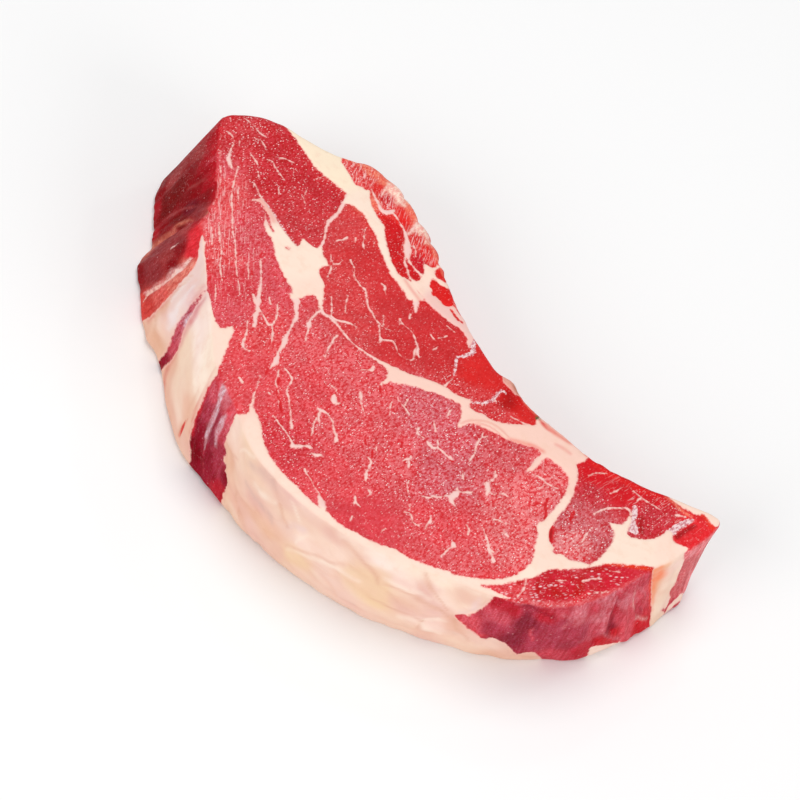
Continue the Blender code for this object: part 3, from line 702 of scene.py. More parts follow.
FACE_FAT_LINES = [
    (LUMP_PINK, 1.0, [(30, 34, 0.5), (34, 34.2, 1.2), (39, 33, 0.6)]),
    (LUMP_BROWN, 1.2, [(33.5, 35.3, 0.2), (36.5, 34.6, 0.7), (39, 33.6, 0.4)]),
    (LAYER_MEAT, 1.0, [(50.8, 31, 0.2), (53, 30.5, 0.7), (55.5, 30.3, 0.6), (58, 31.3, 0.3)]),
    (HERB, 0.3, [(49.2, 31.2, 0.5), (49.6, 30.5, 0.5)]),
    (LAYER_PINK, 0.5, [(33.6, 4, 0.2), (34.4, 6.8, 0.35), (36.5, 10, 0.35), (39, 12.6, 0.3), (42, 14, 0.3),
        (45.3, 14.4, 0.3), (48.4, 14.2, 0.2)]),
    (LAYER_PINK, 0.4, [(36, 7, 0.2), (38, 9.7, 0.3), (41, 11.7, 0.3), (45, 12.5, 0.3), (49, 12.6, 0.3),
        (52, 14.2, 0.2)]),
    (LAYER_RED, 1.5, [(49.5, 13.6, 0.3), (53.5, 16, 0.8), (57.5, 18.8, 0.7), (61, 20.2, 0.3)]),
    (LAYER_RED, 1.2, [(54, 31.2, 0.4), (57.5, 31, 0.8), (61, 31.6, 0.6), (65, 32.4, 0.4)]),
    (LAYER_PINK, 1.2, [(62, 27, 0.3), (65, 28, 0.5), (68, 28.3, 0.3)]),
    (LAYER_RED, 0.7, [(66, 33.5, 0.4), (70, 33.8, 0.6), (73, 33, 0.5)]),
    (LAYER_PINK, 1.2, [(-85, 19.5, 0.6), (-80, 18.8, 0.6), (-74, 16.3, 0.3)]),
    (LAYER_PINK, 1.0, [(-24, 37, 0.3), (-19, 35.6, 0.4), (-13, 34.5, 0.4)]),
]

# Muscles of another colour inside the fringe
FACE_PATCHES = [
    (FRINGE_DARK, 0.7, [(-48.5, 54.5), (-46.5, 55.6), (-43.5, 55.4), (-40.5, 54.3), (-38.3, 52.6),
        (-37, 50), (-35.8, 47.8), (-34.3, 46), (-33, 44.3), (-30.5, 42.6), (-28, 41.2), (-25.6, 40),
        (-25.2, 38), (-26.3, 37.2), (-28.5, 37.5), (-32, 39.1), (-36, 41.4), (-40, 44.3), (-43.5, 47.2),
        (-47, 50.8)]),
    (FRINGE_DARK, 0.5, [(-28.5, 44), (-25.5, 44.3), (-23, 43.6), (-21.6, 42), (-21.3, 40.8), (-22.5, 40.4),
        (-25, 41.4), (-27.5, 42.8)]),
    (FRINGE_WINE, 0.6, [(-30.5, 51.5), (-27.5, 51.2), (-25.5, 49.5), (-23.3, 47), (-22, 45.4), (-24.2, 45),
        (-27, 46.8), (-29, 49)]),
]

# Where the fibres of the cut face show as streaks: place, reach, strength
STREAKS = {
    "blade": [(-98, 10, 18, 0.8), (-86, -2, 16, 0.9), (-74, -8, 16, 0.8), (-62, -20, 14, 0.5)],
    "tail": [(86, 31, 10, 0.4), (98, 37, 12, 0.9), (108, 35, 10, 1.0), (120, 40, 6, 0.5), (84, 22, 8, 0.5)],
    "fringe": [(-71, 63, 10, 1.0), (-55, 62, 7, 0.9), (-45, 62, 6, 0.5), (-35, 58, 8, 1.0),
        (-27, 54, 6, 0.8)],
    # the corner's places say where the torn look, with its painted shade and painted glints, is drawn
    "corner": [(92, -36, 8, 0.8), (101, -24, 11, 1.0), (108, -10, 10, 1.0), (113, 1, 8, 0.8)],
}

# ---------------------------------------------------------------- the side, in (s, h)

# Bodies of fat, the lean that crosses them, and thin seams of fat in the lean
SIDE_MASSES = {
    "wedge and membrane": [
        (62, 40), (62.3, 37.3), (64, 36.6), (67, 36.2), (70, 35.6), (72.5, 35), (75.5, 33.5), (78, 29.8),
        (79.8, 25), (81.5, 20), (82.8, 15), (83.8, 10), (84.3, 5), (84.5, -2), (127, -2), (127.5, 4),
        (126, 10), (125, 20), (124.5, 30), (124, 40),
    ],
    "cap": [
        (144, 40), (144, 37), (143.5, 28), (144, 24), (147, 22), (146, 20), (150, 18.5), (149.5, 17),
        (153.5, 16), (152, 10), (150.5, 5), (150, -2), (281, -2), (281, 3), (280, 5), (279, 8), (276, 7.5),
        (274, 6), (272, 9), (270, 12), (266, 14), (264, 13), (261, 14.5), (258, 16), (255, 18), (252, 21),
        (256, 23), (259, 27), (261, 31), (263, 37), (263.5, 40),
    ],
    "low triangle": [
        (297, -2), (297.2, 4), (298.3, 8.3), (301, 7.8), (304, 6), (308, 4), (312, 2.5), (313, -2),
    ],
    "tail stripe": [
        (331, 40), (331.2, 30), (332.3, 20), (333.4, 10), (334, -2), (342.5, -2), (344.5, 4), (347.5, 7.5),
        (347.2, 11.5), (349, 15), (349.8, 19), (350, 24), (349.3, 29), (347, 35), (345.5, 40),
    ],
}
SIDE_ISLAND_LINES = [
    [(88.4, 36.5, 0.3), (90.8, 30, 0.8), (92.8, 24, 1.5), (94.6, 19, 2.0), (96.8, 14, 2.4), (98.2, 9, 2.0),
     (98.4, 4, 1.5), (98.6, 0, 1.3)],
    [(340.5, 6.2, 0.2), (342.5, 4.6, 0.5), (345, 2.5, 0.3)],
]
SIDE_SEAMS = [
    [(71, 31, 0.3), (73, 28, 0.5), (75, 22, 0.6), (76, 15, 0.4), (76.5, 5, 0.5), (78, 3, 0.3)],
    [(74.6, 27, 0.5), (74.2, 24, 0.9), (75, 21, 0.6)],
    [(61.3, 24.6, 0.1), (62, 23, 0.45), (62.6, 21, 0.2)],
    [(344, 1, 0.8), (348.5, 3, 1.4), (354, 5, 1.6), (358, 5, 1.8), (361, 2, 1.0)],
]
# The crack in the wedge of fat, painted dark inside as shade
SIDE_SLITS = [
    [(120.2, 3.5, 0.2), (120.6, 8, 0.35), (121.3, 13.5, 0.1)],
]

# The lean and the fat of the side, listed in the same way. A place without a third number has
# SIDE_SPECKS.
SIDE_SPECKS = 0.1
SIDE_LEAN = [
    (MAROON, [(-24, 20), (-12, 12), (0, 10), (10, 5), (16, 24, 0.2), (30, 27), (35, 16), (40, 34), (40, 9),
        (46, 12), (65, 27), (70, 22), (66, 3)]),
    # the red at (20, 3.5) and (40, 3.5), along the foot, is a painted reflection
    (MAROON_RED, [(-12, 30), (0, 30), (10, 34, 0.3), (20, 34, 0.2), (32, 34), (20, 3.5), (40, 3.5),
        (54.5, 34)]),
    (MAROON_SHEEN, [(10, 27, 0.3), (10, 12, 0.3), (66, 20)]),
    (MAROON_DEEP, [(20, 17, 0.2), (20, 9), (27, 12), (42, 17), (46, 21)]),
    (MAROON_BLACK, [(41, 24)]),
    # partly the muscle's brownish rose and partly painted sheen
    (BROWN_ROSE_AND_SHEEN, [(46, 31), (56, 18), (60, 25), (60, 12), (70, 13), (65, 9)]),
    (GROOVE_ROSE, [(50, 34), (50, 24), (50, 14), (55, 26), (55, 10)]),
    (GROOVE_TAN, [(54, 4)]),
    (SCARLET, [(60, 34), (65, 34), (69, 33)]),
    (SALMON_PALE, [(75, 30), (79, 22)]),
    (SALMON_MID, [(79, 14)]),
    (SALMON, [(81, 5)]),
    (ROSE_PALE, [(91, 30), (95, 18, 0.2), (137, 36), (296, 33), (303, 27), (308, 35, 0.2), (315, 29)]),
    # lilac is painted sheen on the membrane
    (LILAC_SHEEN, [(93, 24, 0.2)]),
    (ROSE_RED, [(97, 12), (128, 32, 0.2), (142, 27), (266, 28), (300, 20), (303, 20)]),
    (WINE, [(98, 4), (129, 16), (133, 3), (138, 14), (140, 9), (149, 14), (307, 17)]),
    (PLUM_BRIGHT, [(128, 37, 0.2), (141, 35)]),
    (PLUM, [(129, 25, 0.2), (137, 28), (144, 19), (145, 14), (266, 20), (276, 34), (279, 15), (283, 25),
        (283, 17), (289, 27), (289, 14), (295, 22)]),
    (WINE_DEEP, [(131, 8)]),
    # at (276, 26) and (272, 16) this is painted shadow in the dent of the end face
    (PLUM_DARK, [(136, 21), (276, 26), (272, 16)]),
    (PLUM_RED, [(149, 8), (145, 4), (266, 36), (271, 34), (282, 33), (295, 9), (309, 27)]),
    (END_ROSE, [(257, 19), (315, 18), (315, 8), (324, 27), (330, 22)]),
    (END_RED, [(285, 8), (288, 36), (300, 32), (314, 34), (311, 19), (325, 33), (326, 20), (350, 5)]),
    (END_BRIGHT, [(304, 10), (308, 12), (325, 6)]),
    (MAUVE_PALE, [(352, 34, 0.2), (356, 37, 0.2), (359, 33, 0.2), (364, 10)]),
    (MAUVE, [(353, 26, 0.2), (358, 22, 0.2), (353, 17, 0.2), (349, 9), (356, 11), (364, 30, 0.2)]),
]
SIDE_FAT = [
    (MEMBRANE, [(76, 36), (82, 33), (87, 35), (88, 28), (89, 19), (84, 22)]),
    (CAP_TAN, [(85, 15), (120, 15), (150, 22), (157, 14), (165, 11), (173, 17), (181, 17), (253, 17),
        (268, 4)]),
    (CAP, [(89, 12), (160, 33), (160, 24), (160, 5), (171, 30), (183, 26), (192, 34), (196, 4), (206, 14),
        (205, 5), (213, 34), (215, 8), (224, 6), (234, 9), (256, 9), (264, 9), (339, 3)]),
    (WEDGE_FOOT, [(90, 4), (102, 9), (107, 3), (115, 3), (124, 12)]),
    (WEDGE, [(99, 36), (105, 30), (112, 32), (117, 27), (222, 36), (232, 36), (243, 36)]),
    (WEDGE_LOW, [(104, 19), (112, 19), (109, 11), (116, 10)]),
    (CAP_LIGHT, [(149, 32), (196, 25), (205, 27), (232, 29), (247, 28), (246, 12), (255, 25), (300, 5),
        (335, 12), (340, 11), (345, 17)]),
    (CAP_ROSE, [(172, 35), (172, 23), (172, 9), (181, 34), (184, 8), (204, 36), (233, 19), (240, 30),
        (244, 20), (245, 4), (254, 34)]),
    (CAP_PEACH, [(194, 12), (216, 22), (222, 28), (223, 16)]),
    (STRIPE_WARM, [(335, 37), (334, 24)]),
    (STRIPE_ORANGE, [(334, 31)]),
    (CREAM_WARM, [(341, 34), (339, 22), (347, 24)]),
]

# Lines of another colour over them: colour, softness, places and widths
SIDE_LEAN_LINES = [
    # the blade end: a thin rim, a red band under it, partly painted light glowing through the thin edge,
    # and streaks of painted sheen down the two muscles
    (RIM_RED, 3.0, [(-20, 36.4, 0.4), (22, 36.2, 0.5), (46, 36.6, 0.3)]),
    (STRIP_WARM, 0.6, [(-20, 37.8, 0.2), (20, 37.8, 0.2), (50, 37.5, 0.3), (62, 36.9, 0.4)]),
    (ROSE_RED, 1.4, [(21, 37.5, 0.6), (21.5, 33, 0.2)]),
    (MAROON_SHEEN, 1.3, [(29.5, 32, 0.2), (28, 27, 0.5), (26, 22, 0.2)]),
    (MAROON_SHEEN, 1.4, [(40.5, 27, 0.2), (38, 22, 0.4), (35, 15, 0.7), (32.5, 9, 0.2)]),
    (SCARLET, 3.0, [(56.5, 34.6, 0.3), (59, 34.4, 0.9), (63, 33.8, 1.5), (67, 33.2, 1.3), (70, 32, 0.4)]),
    # the groove
    (GROOVE_TAN, 0.9, [(48.2, 26, 0.1), (47.1, 23, 0.5), (47, 18, 0.5), (48.2, 15, 0.4)]),
    (GROOVE_TAN, 0.8, [(51, 37.5, 0.5), (50.6, 34, 0.3), (51, 32, 0.1)]),
    (GROOVE_TAN, 1.4, [(48.8, 15, 0.5), (50.2, 11.5, 1.8), (50.8, 6, 1.6), (53.5, 3, 0.5)]),
    # the front of the second muscle
    (SALMON_PALE, 1.0, [(73, 34, 0.3), (76, 30.3, 1.1), (78.6, 26, 1.0), (80.8, 21, 0.5)]),
    (ROSE_RED, 0.9, [(89, 33, 0.2), (91, 27, 0.4), (92.6, 21.5, 0.5), (94.6, 15.5, 0.6)]),
    (PLUM, 0.7, [(89.5, 31, 0.1), (91.6, 25, 0.2), (94.4, 19, 0.25), (96, 13, 0.4)]),
    (SALMON, 0.6, [(78.2, 24, 0.2), (80.3, 18, 0.4), (82.5, 12, 0.2)]),
    (FILM_ROSE, 1.0, [(71.6, 31, 0.2), (73, 27, 1.0), (73.6, 22, 1.2), (75.5, 17, 0.4), (76, 5, 0.5)]),
    # the muscle beside the cap, with soft lilac streaks of painted sheen
    (SCARLET, 1.1, [(124.4, 37, 0.2), (124.3, 27, 0.5), (124.8, 20, 0.6), (126.5, 12, 0.3)]),
    (LILAC_SHEEN, 0.9, [(131.8, 38, 1.2), (133, 33, 0.9), (134, 28, 1.6), (133.6, 21, 1.1), (133.5, 14, 0.2)]),
    (LILAC_SHEEN, 0.9, [(140, 32.5, 0.3), (139.6, 28.5, 1.0), (139, 24, 0.7), (140.3, 20, 0.3)]),
    (ROSE_PALE, 0.7, [(143, 37.5, 0.3), (142.5, 30, 0.2)]),
    (PLUM, 1.0, [(137.5, 17.5, 0.2), (143, 19, 0.6), (149, 17.5, 0.3)]),
    (PLUM_DARK, 1.0, [(137, 30, 0.4), (136.8, 25, 0.5), (137, 19, 0.3)]),
    (END_RED, 0.5, [(134, 12.5, 0.1), (135.3, 8, 0.12), (136.3, 4, 0.1)]),
    # the end face: pale rose lines along its ridges are painted highlights,
    # and the dark lines in its dents at s 276, 308 and 325 are painted shade
    (WINE, 1.4, [(273.5, 37, 0.2), (276, 35.6, 0.5), (280, 34.4, 0.4), (285, 32.8, 0.1)]),
    (PLUM_DARK, 2.6, [(275.5, 31, 0.4), (276.3, 26, 1.2), (273.5, 18, 0.9)]),
    (STRIP_WARM, 1.2, [(252.5, 19.8, 0.2), (256, 16.6, 0.4), (260, 14.4, 0.3), (263.5, 14, 0.1)]),
    (END_ROSE, 0.6, [(277.6, 24, 0.1), (277.2, 20, 0.35), (277.5, 16, 0.1)]),
    (ROSE_PALE, 1.4, [(288, 34, 0.2), (290.5, 30, 0.4), (288.3, 26, 0.3)]),
    (ROSE_PALE, 1.6, [(295.5, 37, 0.8), (293.5, 31, 0.9), (292, 27, 0.2)]),
    (ROSE_PALE, 1.2, [(310, 34, 1.1), (307.5, 28.5, 0.7), (304.6, 23, 0.5), (303.2, 18, 0.6),
        (305.2, 13, 0.4), (308.2, 9, 0.5), (312, 4.5, 0.6)]),
    (WINE, 2.2, [(311.4, 32.5, 0.1), (308.6, 26, 0.3), (307, 20, 0.5), (306.8, 15, 0.3)]),
    (FILM_ROSE, 1.0, [(320.3, 31, 0.1), (319.8, 26, 0.3), (320.6, 20, 0.1)]),
    (PLUM_RED, 0.7, [(320.6, 25.5, 0.1), (321, 20, 0.25), (320.8, 15, 0.1)]),
    (FILM_ROSE, 0.8, [(321, 14.5, 0.2), (325.5, 11.5, 0.5), (330.5, 8, 0.3)]),
    (ROSE_PALE, 0.9, [(313.5, 37, 0.2), (318, 30.5, 0.4), (323.5, 24, 0.3)]),
    (ROSE_PALE, 0.8, [(321, 34, 0.1), (325, 29, 0.4), (328.5, 24, 0.1)]),
    (WINE, 1.0, [(324, 18.5, 0.1), (325.5, 16.5, 0.3), (327, 15, 0.1)]),
    (ROSE_PALE, 0.5, [(264, 37.5, 0.3), (300, 37.5, 0.3), (331, 37.5, 0.3)]),
    (STRIPE_RED, 1.1, [(330, 38, 0.4), (330.5, 30, 0.6), (331.6, 22, 0.4), (333, 12, 0.2)]),
]
SIDE_FAT_LINES = [
    # the film over the front of the wedge; its white streaks are painted sheen
    (FILM_SHEEN_WHITE, 1.4, [(84, 32, 0.2), (86, 27, 0.5), (89.5, 20, 1.0), (91.5, 14, 0.5)]),
    (FILM_TAN, 0.9, [(79.3, 31, 0.2), (82, 24, 0.4), (84.3, 16, 0.6), (86, 9, 0.5)]),
    (FILM_RED, 0.7, [(80.6, 26, 0.1), (82.6, 19, 0.3), (84, 12, 0.3), (85, 5, 0.5)]),
    (FILM_ROSE, 1.0, [(86.5, 38, 0.4), (88.5, 33, 0.7), (90, 28, 0.3)]),
    (FILM_SHEEN_WHITE, 0.8, [(80, 30, 0.1), (82.5, 24.5, 0.3), (84.5, 19, 0.1)]),
    (FILM_TAN, 1.2, [(88, 9, 0.3), (91.5, 6.5, 1.0), (94, 3, 0.8)]),
    (MAUVE, 1.6, [(91.5, 35, 0.3), (94.5, 28, 1.0), (97, 21, 1.0), (99.2, 14, 0.4)]),
    (FILM_RED, 1.4, [(100.4, 13, 0.2), (101.6, 7, 0.6), (103, 3, 1.0), (107, 1.5, 0.6)]),
    (FILM_TAN, 1.6, [(121.2, 25, 0.1), (121, 14, 0.4), (120.4, 5, 0.4)]),
    (FILM_RED, 0.9, [(123.9, 37, 0.1), (123.7, 26, 0.3), (124.2, 18, 0.4), (126, 11, 0.2)]),
    (WEDGE, 2.2, [(196, 38.5, 0.6), (214, 36.5, 0.9), (240, 36.3, 1.0), (262, 36.6, 0.6)]),
    (CAP_PEACH, 2.5, [(214, 30, 0.5), (219, 24, 2.2), (223, 18, 2.2)]),
    (MEMBRANE, 2.4, [(186, 24, 0.3), (188.5, 27, 1.0), (193, 28.5, 0.5)]),
    (MEMBRANE, 1.8, [(258, 34, 0.4), (257.5, 29, 1.0), (254, 24, 1.0)]),
    # folds of the cap: grey lines are painted shade in its dents and light ones painted highlights on its
    # ridges;
    # the tan ones are partly the fat's tan and partly painted shade in the creases
    (FOLD_TAN, 1.0, [(146.5, 25.6, 0.1), (151, 26, 0.3), (156, 28, 0.1)]),
    (FOLD_HIGHLIGHT, 1.0, [(155, 32, 0.1), (159, 35, 0.4), (163, 36.5, 0.2)]),
    (FOLD_SHADE_GREY, 2.2, [(162, 33, 0.3), (166, 34, 0.9), (171, 36, 0.9), (176, 35, 0.3)]),
    (FOLD_SHADE_GREY, 1.6, [(164, 25.5, 0.2), (170, 23.5, 0.9), (178, 23, 0.9), (180, 20, 0.3)]),
    (FOLD_HIGHLIGHT, 1.6, [(168, 28.5, 0.4), (173, 28, 0.9), (178, 30, 0.4)]),
    (FOLD_TAN, 1.0, [(180.5, 31, 0.1), (183.5, 27.5, 0.4), (186, 23.5, 0.2)]),
    (FOLD_HIGHLIGHT, 0.8, [(184, 36, 0.1), (187, 33.5, 0.6), (189.5, 31, 0.2)]),
    (FOLD_HIGHLIGHT, 0.8, [(194.5, 27, 0.3), (193, 24.5, 0.6), (192, 21, 0.2)]),
    (FOLD_TAN, 1.6, [(189, 15.5, 0.1), (196, 19, 0.2), (203, 22, 0.2), (210, 24.5, 0.1)]),
    (FOLD_HIGHLIGHT, 1.6, [(190, 14.5, 0.2), (198, 18, 0.5), (206, 21, 0.8), (216, 21.5, 0.4)]),
    (FOLD_TAN, 1.4, [(207, 35.5, 0.2), (214, 32.5, 0.5), (220, 28.5, 0.5), (223, 24, 0.2)]),
    (FOLD_HIGHLIGHT, 1.2, [(224, 28, 0.3), (229, 27.2, 0.7), (238, 26.7, 0.5), (242, 25.5, 0.2)]),
    (FOLD_TAN, 1.0, [(224.5, 25.3, 0.2), (235, 24.9, 0.4), (243, 22.8, 0.4), (248, 20.3, 0.4),
        (252, 18.5, 0.4)]),
    (FOLD_TAN, 1.0, [(237.5, 36, 0.2), (241, 31.5, 0.4), (246, 26, 0.2), (249, 22, 0.1)]),
    (FOLD_TAN, 0.9, [(221, 16.5, 0.1), (228, 14.3, 0.3), (236, 14, 0.3), (241, 13.2, 0.4)]),
    (FOLD_HIGHLIGHT, 0.9, [(241.5, 14, 0.2), (245, 15.8, 0.5), (249.5, 17, 0.3)]),
    (FOLD_TAN, 0.9, [(241.2, 13, 0.5), (240.5, 10, 0.2), (240, 7, 0.1)]),
    (FOLD_HIGHLIGHT, 1.8, [(232, 11, 0.4), (237, 12, 0.6), (244, 9.5, 0.7), (248, 8, 0.2)]),
    (FOLD_TAN, 1.2, [(252, 17.5, 0.6), (256, 13.5, 0.4), (259, 9, 0.2)]),
    (CAP_TAN, 1.4, [(205, 13, 0.1), (208.5, 10.5, 0.4), (210, 6, 0.1)]),
    (FOLD_TAN, 0.8, [(160.3, 17.5, 0.1), (161, 14.5, 0.35), (160.5, 12, 0.1)]),
    (FOLD_TAN, 0.9, [(163.5, 12, 0.1), (164, 9, 0.4), (164.5, 5.5, 0.2)]),
    (FOLD_TAN, 1.0, [(273, 6, 0.2), (277.5, 4.2, 0.8), (281, 4.5, 0.2)]),
    (STRIPE_ORANGE, 1.8, [(332.6, 37, 2.0), (333.2, 31, 2.2), (332.8, 24, 1.2), (333.2, 17, 0.7),
        (334, 10, 0.4)]),
]

# Dents and rises of the side: how far out, the width of the slope, and the places along it
SIDE_RELIEF = [
    (-1.7, 1.9, [(51, 38), (49.5, 24), (50.5, 14), (51.5, 7)]),
    (-0.9, 1.0, [(71, 33), (74, 26), (76, 15), (77, 2)]),
    (0.8, 2.5, [(86, 36), (87.5, 20), (90, 4)]),
    (-0.5, 0.9, [(90, 36), (92, 28), (95, 17), (98, 4)]),
    (-0.4, 0.6, [(120.3, 3), (121, 9), (121.5, 15)]),
    (-0.8, 1.2, [(125.5, 36), (126, 24), (127, 12), (128.5, 3)]),
    (-0.5, 2.5, [(131, 30), (131, 16), (133, 4)]),
    (0.6, 2.5, [(138, 30), (140, 16), (143, 5)]),
    (-0.7, 0.9, [(143.6, 34), (144, 25), (148, 20.5), (152.5, 13), (151, 3)]),
    (-0.45, 1.0, [(150, 25.5), (155, 24), (160, 22)]),
    (-0.4, 1.1, [(157, 33), (163, 29), (170, 28)]),
    (0.5, 1.6, [(166, 21), (174, 17), (181, 12)]),
    (-0.4, 1.0, [(176, 31), (183, 26), (187, 24)]),
    (0.4, 1.6, [(190, 27), (192, 24), (193, 21)]),
    (-0.3, 1.2, [(200, 21), (208, 19), (215, 16)]),
    (-0.4, 1.2, [(205, 30), (214, 26), (222, 27)]),
    (-0.5, 1.2, [(226, 24), (238, 25), (245, 22), (252, 20)]),
    (-0.35, 1.3, [(238, 36), (246, 25.5), (250, 22)]),
    (0.7, 2.2, [(243, 9), (250, 13), (258, 13), (265, 10), (271, 6)]),
    (-0.6, 0.9, [(240, 5), (243, 14), (250, 18), (258, 17.5), (265, 14.5), (270, 11), (273, 4)]),
    (-0.8, 1.0, [(263, 37), (260, 29), (254, 21.5)]),
    (-1.3, 3.0, [(276, 34), (276, 24), (273, 14)]),
    (0.6, 3.0, [(285, 36), (286, 20), (285, 6)]),
    (-0.9, 1.5, [(300, 32), (299, 22), (300, 12)]),
    (0.9, 1.8, [(296, 36), (294, 29), (294, 18)]),
    (0.8, 1.2, [(310, 34), (306, 26), (304, 18), (306.5, 11), (310, 4)]),
    (-0.8, 1.7, [(310.5, 30), (308, 22), (307, 14)]),
    (0.5, 1.5, [(314, 36), (314.5, 20), (313, 5)]),
    (0.7, 1.3, [(318, 31), (319, 24), (320, 16), (325, 11.5), (330, 8)]),
    (-0.5, 1.2, [(322.5, 29), (323, 21), (323, 15)]),
    (0.6, 1.0, [(315, 36), (320, 31), (326, 25), (330, 21)]),
    (-0.6, 1.5, [(326, 17), (329, 14)]),
    (-0.4, 0.8, [(330.8, 37), (331.6, 20), (333, 4)]),
    (0.5, 3.0, [(339, 36), (341, 22), (338, 8)]),
    (-0.4, 1.0, [(346.5, 36), (350.5, 25), (347, 12), (342, 3)]),
]


# ---------------------------------------------------------------- curves and noise

Stations = namedtuple("Stations", "upper lower swell s around")


def hermite(start, end, slope_in, slope_out, share):
    """A point on the smooth curve from start to end, where share runs from 0 to 1."""
    s2 = share * share
    s3 = s2 * share
    return (
        start * (2 * s3 - 3 * s2 + 1)
        + slope_in * (s3 - 2 * s2 + share)
        + end * (3 * s2 - 2 * s3)
        + slope_out * (s3 - s2)
    )


def outline_stations():
    """Points round the steak: upper outline, lower outline, swell, and s along the upper one."""
    knots = np.array([(*upper, *lower) for upper, lower, _ in LANDMARKS])
    swells = np.array([swell for _, _, swell in LANDMARKS])
    shares = np.arange(KNOT_STEPS)[:, None] / KNOT_STEPS
    slopes = (np.roll(knots, -1, 0) - np.roll(knots, 1, 0)) / 2
    fine = []
    swell = []
    for i in range(len(knots)):
        k = (i + 1) % len(knots)
        fine.append(hermite(knots[i], knots[k], slopes[i], slopes[k], shares))
        swell.append(swells[i] + (swells[k] - swells[i]) * shares[:, 0])
    fine = np.concatenate(fine + [fine[0][:1]])
    swell = np.concatenate(swell + [swell[0][:1]])
    reach = np.concatenate([[0], np.cumsum(np.hypot(*np.diff(fine[:, :2], axis=0).T))])
    around = reach[-1]
    front = np.arange(0, BACK_START, FRONT_STEP)
    back = np.arange(BACK_START, BACK_END, BACK_STEP)
    last = np.arange(BACK_END, around - FRONT_STEP / 2, FRONT_STEP)
    s = np.concatenate([front, back, last])
    places = np.stack([np.interp(s, reach, fine[:, k]) for k in range(4)], 1)
    upper = places[:, :2]
    upper = upper + outward_normals(upper) * rim_unevenness(s)[:, None]
    return Stations(upper, places[:, 2:], np.interp(s, reach, swell), s, around)


def rim_unevenness(s):
    """How far the rim stands out: the lobes of the fringe, the lump, and slight waves."""
    line = np.stack([s, s * 0], 1)
    out = 0.22 * noise(line, 5.0, 41) + 0.12 * noise(line, 2.2, 42)
    for start, end in zip(CREASES, CREASES[1:]):
        share = np.clip((s - start) / (end - start), 0, 1)
        out += SCALLOP * (np.sin(share * math.pi) ** 0.55 - 0.6 * ((s > start) & (s < end)))
    out += LUMP_RISE * np.exp(-(((s - LUMP_PLACE) / LUMP_REACH) ** 2))
    return out + window(s, *RAGGED_RIM) * 0.5 * noise(line, 1.8, 43)


def outward_normals(loop):
    along = np.roll(loop, -1, 0) - np.roll(loop, 1, 0)
    normals = np.stack([along[:, 1], -along[:, 0]], 1)
    return normals / np.linalg.norm(normals, axis=1, keepdims=True)


def smooth_line(knots, closed, step):
    """Points close together on a curve through the knots, which may carry a width as well."""
    knots = np.array(knots, float)
    if closed:
        knots = np.concatenate([knots[-1:], knots, knots[:2]])
    else:
        knots = np.concatenate([2 * knots[:1] - knots[1:2], knots, 2 * knots[-1:] - knots[-2:-1]])
    gaps = np.maximum(np.hypot(*np.diff(knots[:, :2], axis=0).T), 0.05)
    times = np.concatenate([[0], np.cumsum(gaps)])
    slopes = (knots[2:] - knots[:-2]) / (times[2:] - times[:-2])[:, None]
    made = []
    for i in range(1, len(knots) - 2):
        count = max(1, math.ceil(gaps[i] / step))
        shares = np.arange(count)[:, None] / count
        ends = (knots[i], knots[i + 1], slopes[i - 1] * gaps[i], slopes[i] * gaps[i])
        made.append(hermite(*ends, shares))
    if not closed:
        made.append(knots[-2:-1])
    return np.concatenate(made)


def noise(points, size, seed):
    """Smooth noise between -1 and 1, in lumps of about the given size."""
    cells = points / size + seed * HASH_SHIFT
    base = np.floor(cells)
    part = cells - base
    ease = part * part * (3 - 2 * part)
    total = np.zeros(len(points))
    for corner in itertools.product((0, 1), repeat=2):
        value = np.sin((base + corner) @ HASH_KEYS) * HASH_SCALE
        weight = np.where(corner, ease, 1 - ease).prod(1)
        total += (value - np.floor(value)) * weight
    return total * 2 - 1


def noise_shift(points, size, seed):
    """Noise in x and in y, to shift the points by."""
    return np.stack([noise(points, size, seed), noise(points, size, seed + 1)], 1)


def smoothstep(low, high, value):
    share = np.clip((value - low) / (high - low), 0, 1)
    return share * share * (3 - 2 * share)


def window(value, start, full, fade, end):
    """1 where the value is between full and fade, and 0 before start and after end."""
    return smoothstep(start, full, value) * (1 - smoothstep(fade, end, value))


# ---------------------------------------------------------------- distances to drawn shapes


def near_box(points, shape, margin):
    """Numbers of the points in the box of a shape, or not far outside it."""
    low = shape[:, :2].min(0)
    high = shape[:, :2].max(0)
    return np.flatnonzero(((points > low - margin) & (points < high + margin)).all(1))


def to_segment(points, start, end):
    """Where on a segment each point is nearest, from 0 to 1, and its distance from there."""
    ax, ay = start[:2]
    dx, dy = end[:2] - start[:2]
    x, y = points.T
    share = np.clip(((x - ax) * dx + (y - ay) * dy) / (dx * dx + dy * dy + 1e-12), 0, 1)
    return share, np.hypot(x - ax - share * dx, y - ay - share * dy)


def inside_loop(points, loop):
    """Whether each point is inside a closed loop, by counting the edges to its right."""
    x, y = points.T
    inside = np.zeros(len(points), bool)
    for (ax, ay), (bx, by) in zip(loop, np.roll(loop, -1, 0)):
        if ay != by:
            inside ^= ((ay > y) != (by > y)) & (x < ax + (y - ay) * (bx - ax) / (by - ay))
    return inside


def area_distance(points, corners, margin=FAR + 1):
    """Distance to a closed shape, negative inside it; only points near it are worked out."""
    loop = smooth_line(corners, True, 1.2)
    found = np.full(len(points), margin)
    rows = near_box(points, loop, margin)
    near = points[rows]
    nearest = np.full(len(rows), np.inf)
    for start, end in zip(loop, np.roll(loop, -1, 0)):
        nearest = np.minimum(nearest, to_segment(near, start, end)[1])
    found[rows] = nearest * np.where(inside_loop(near, loop), -1, 1)
    return found


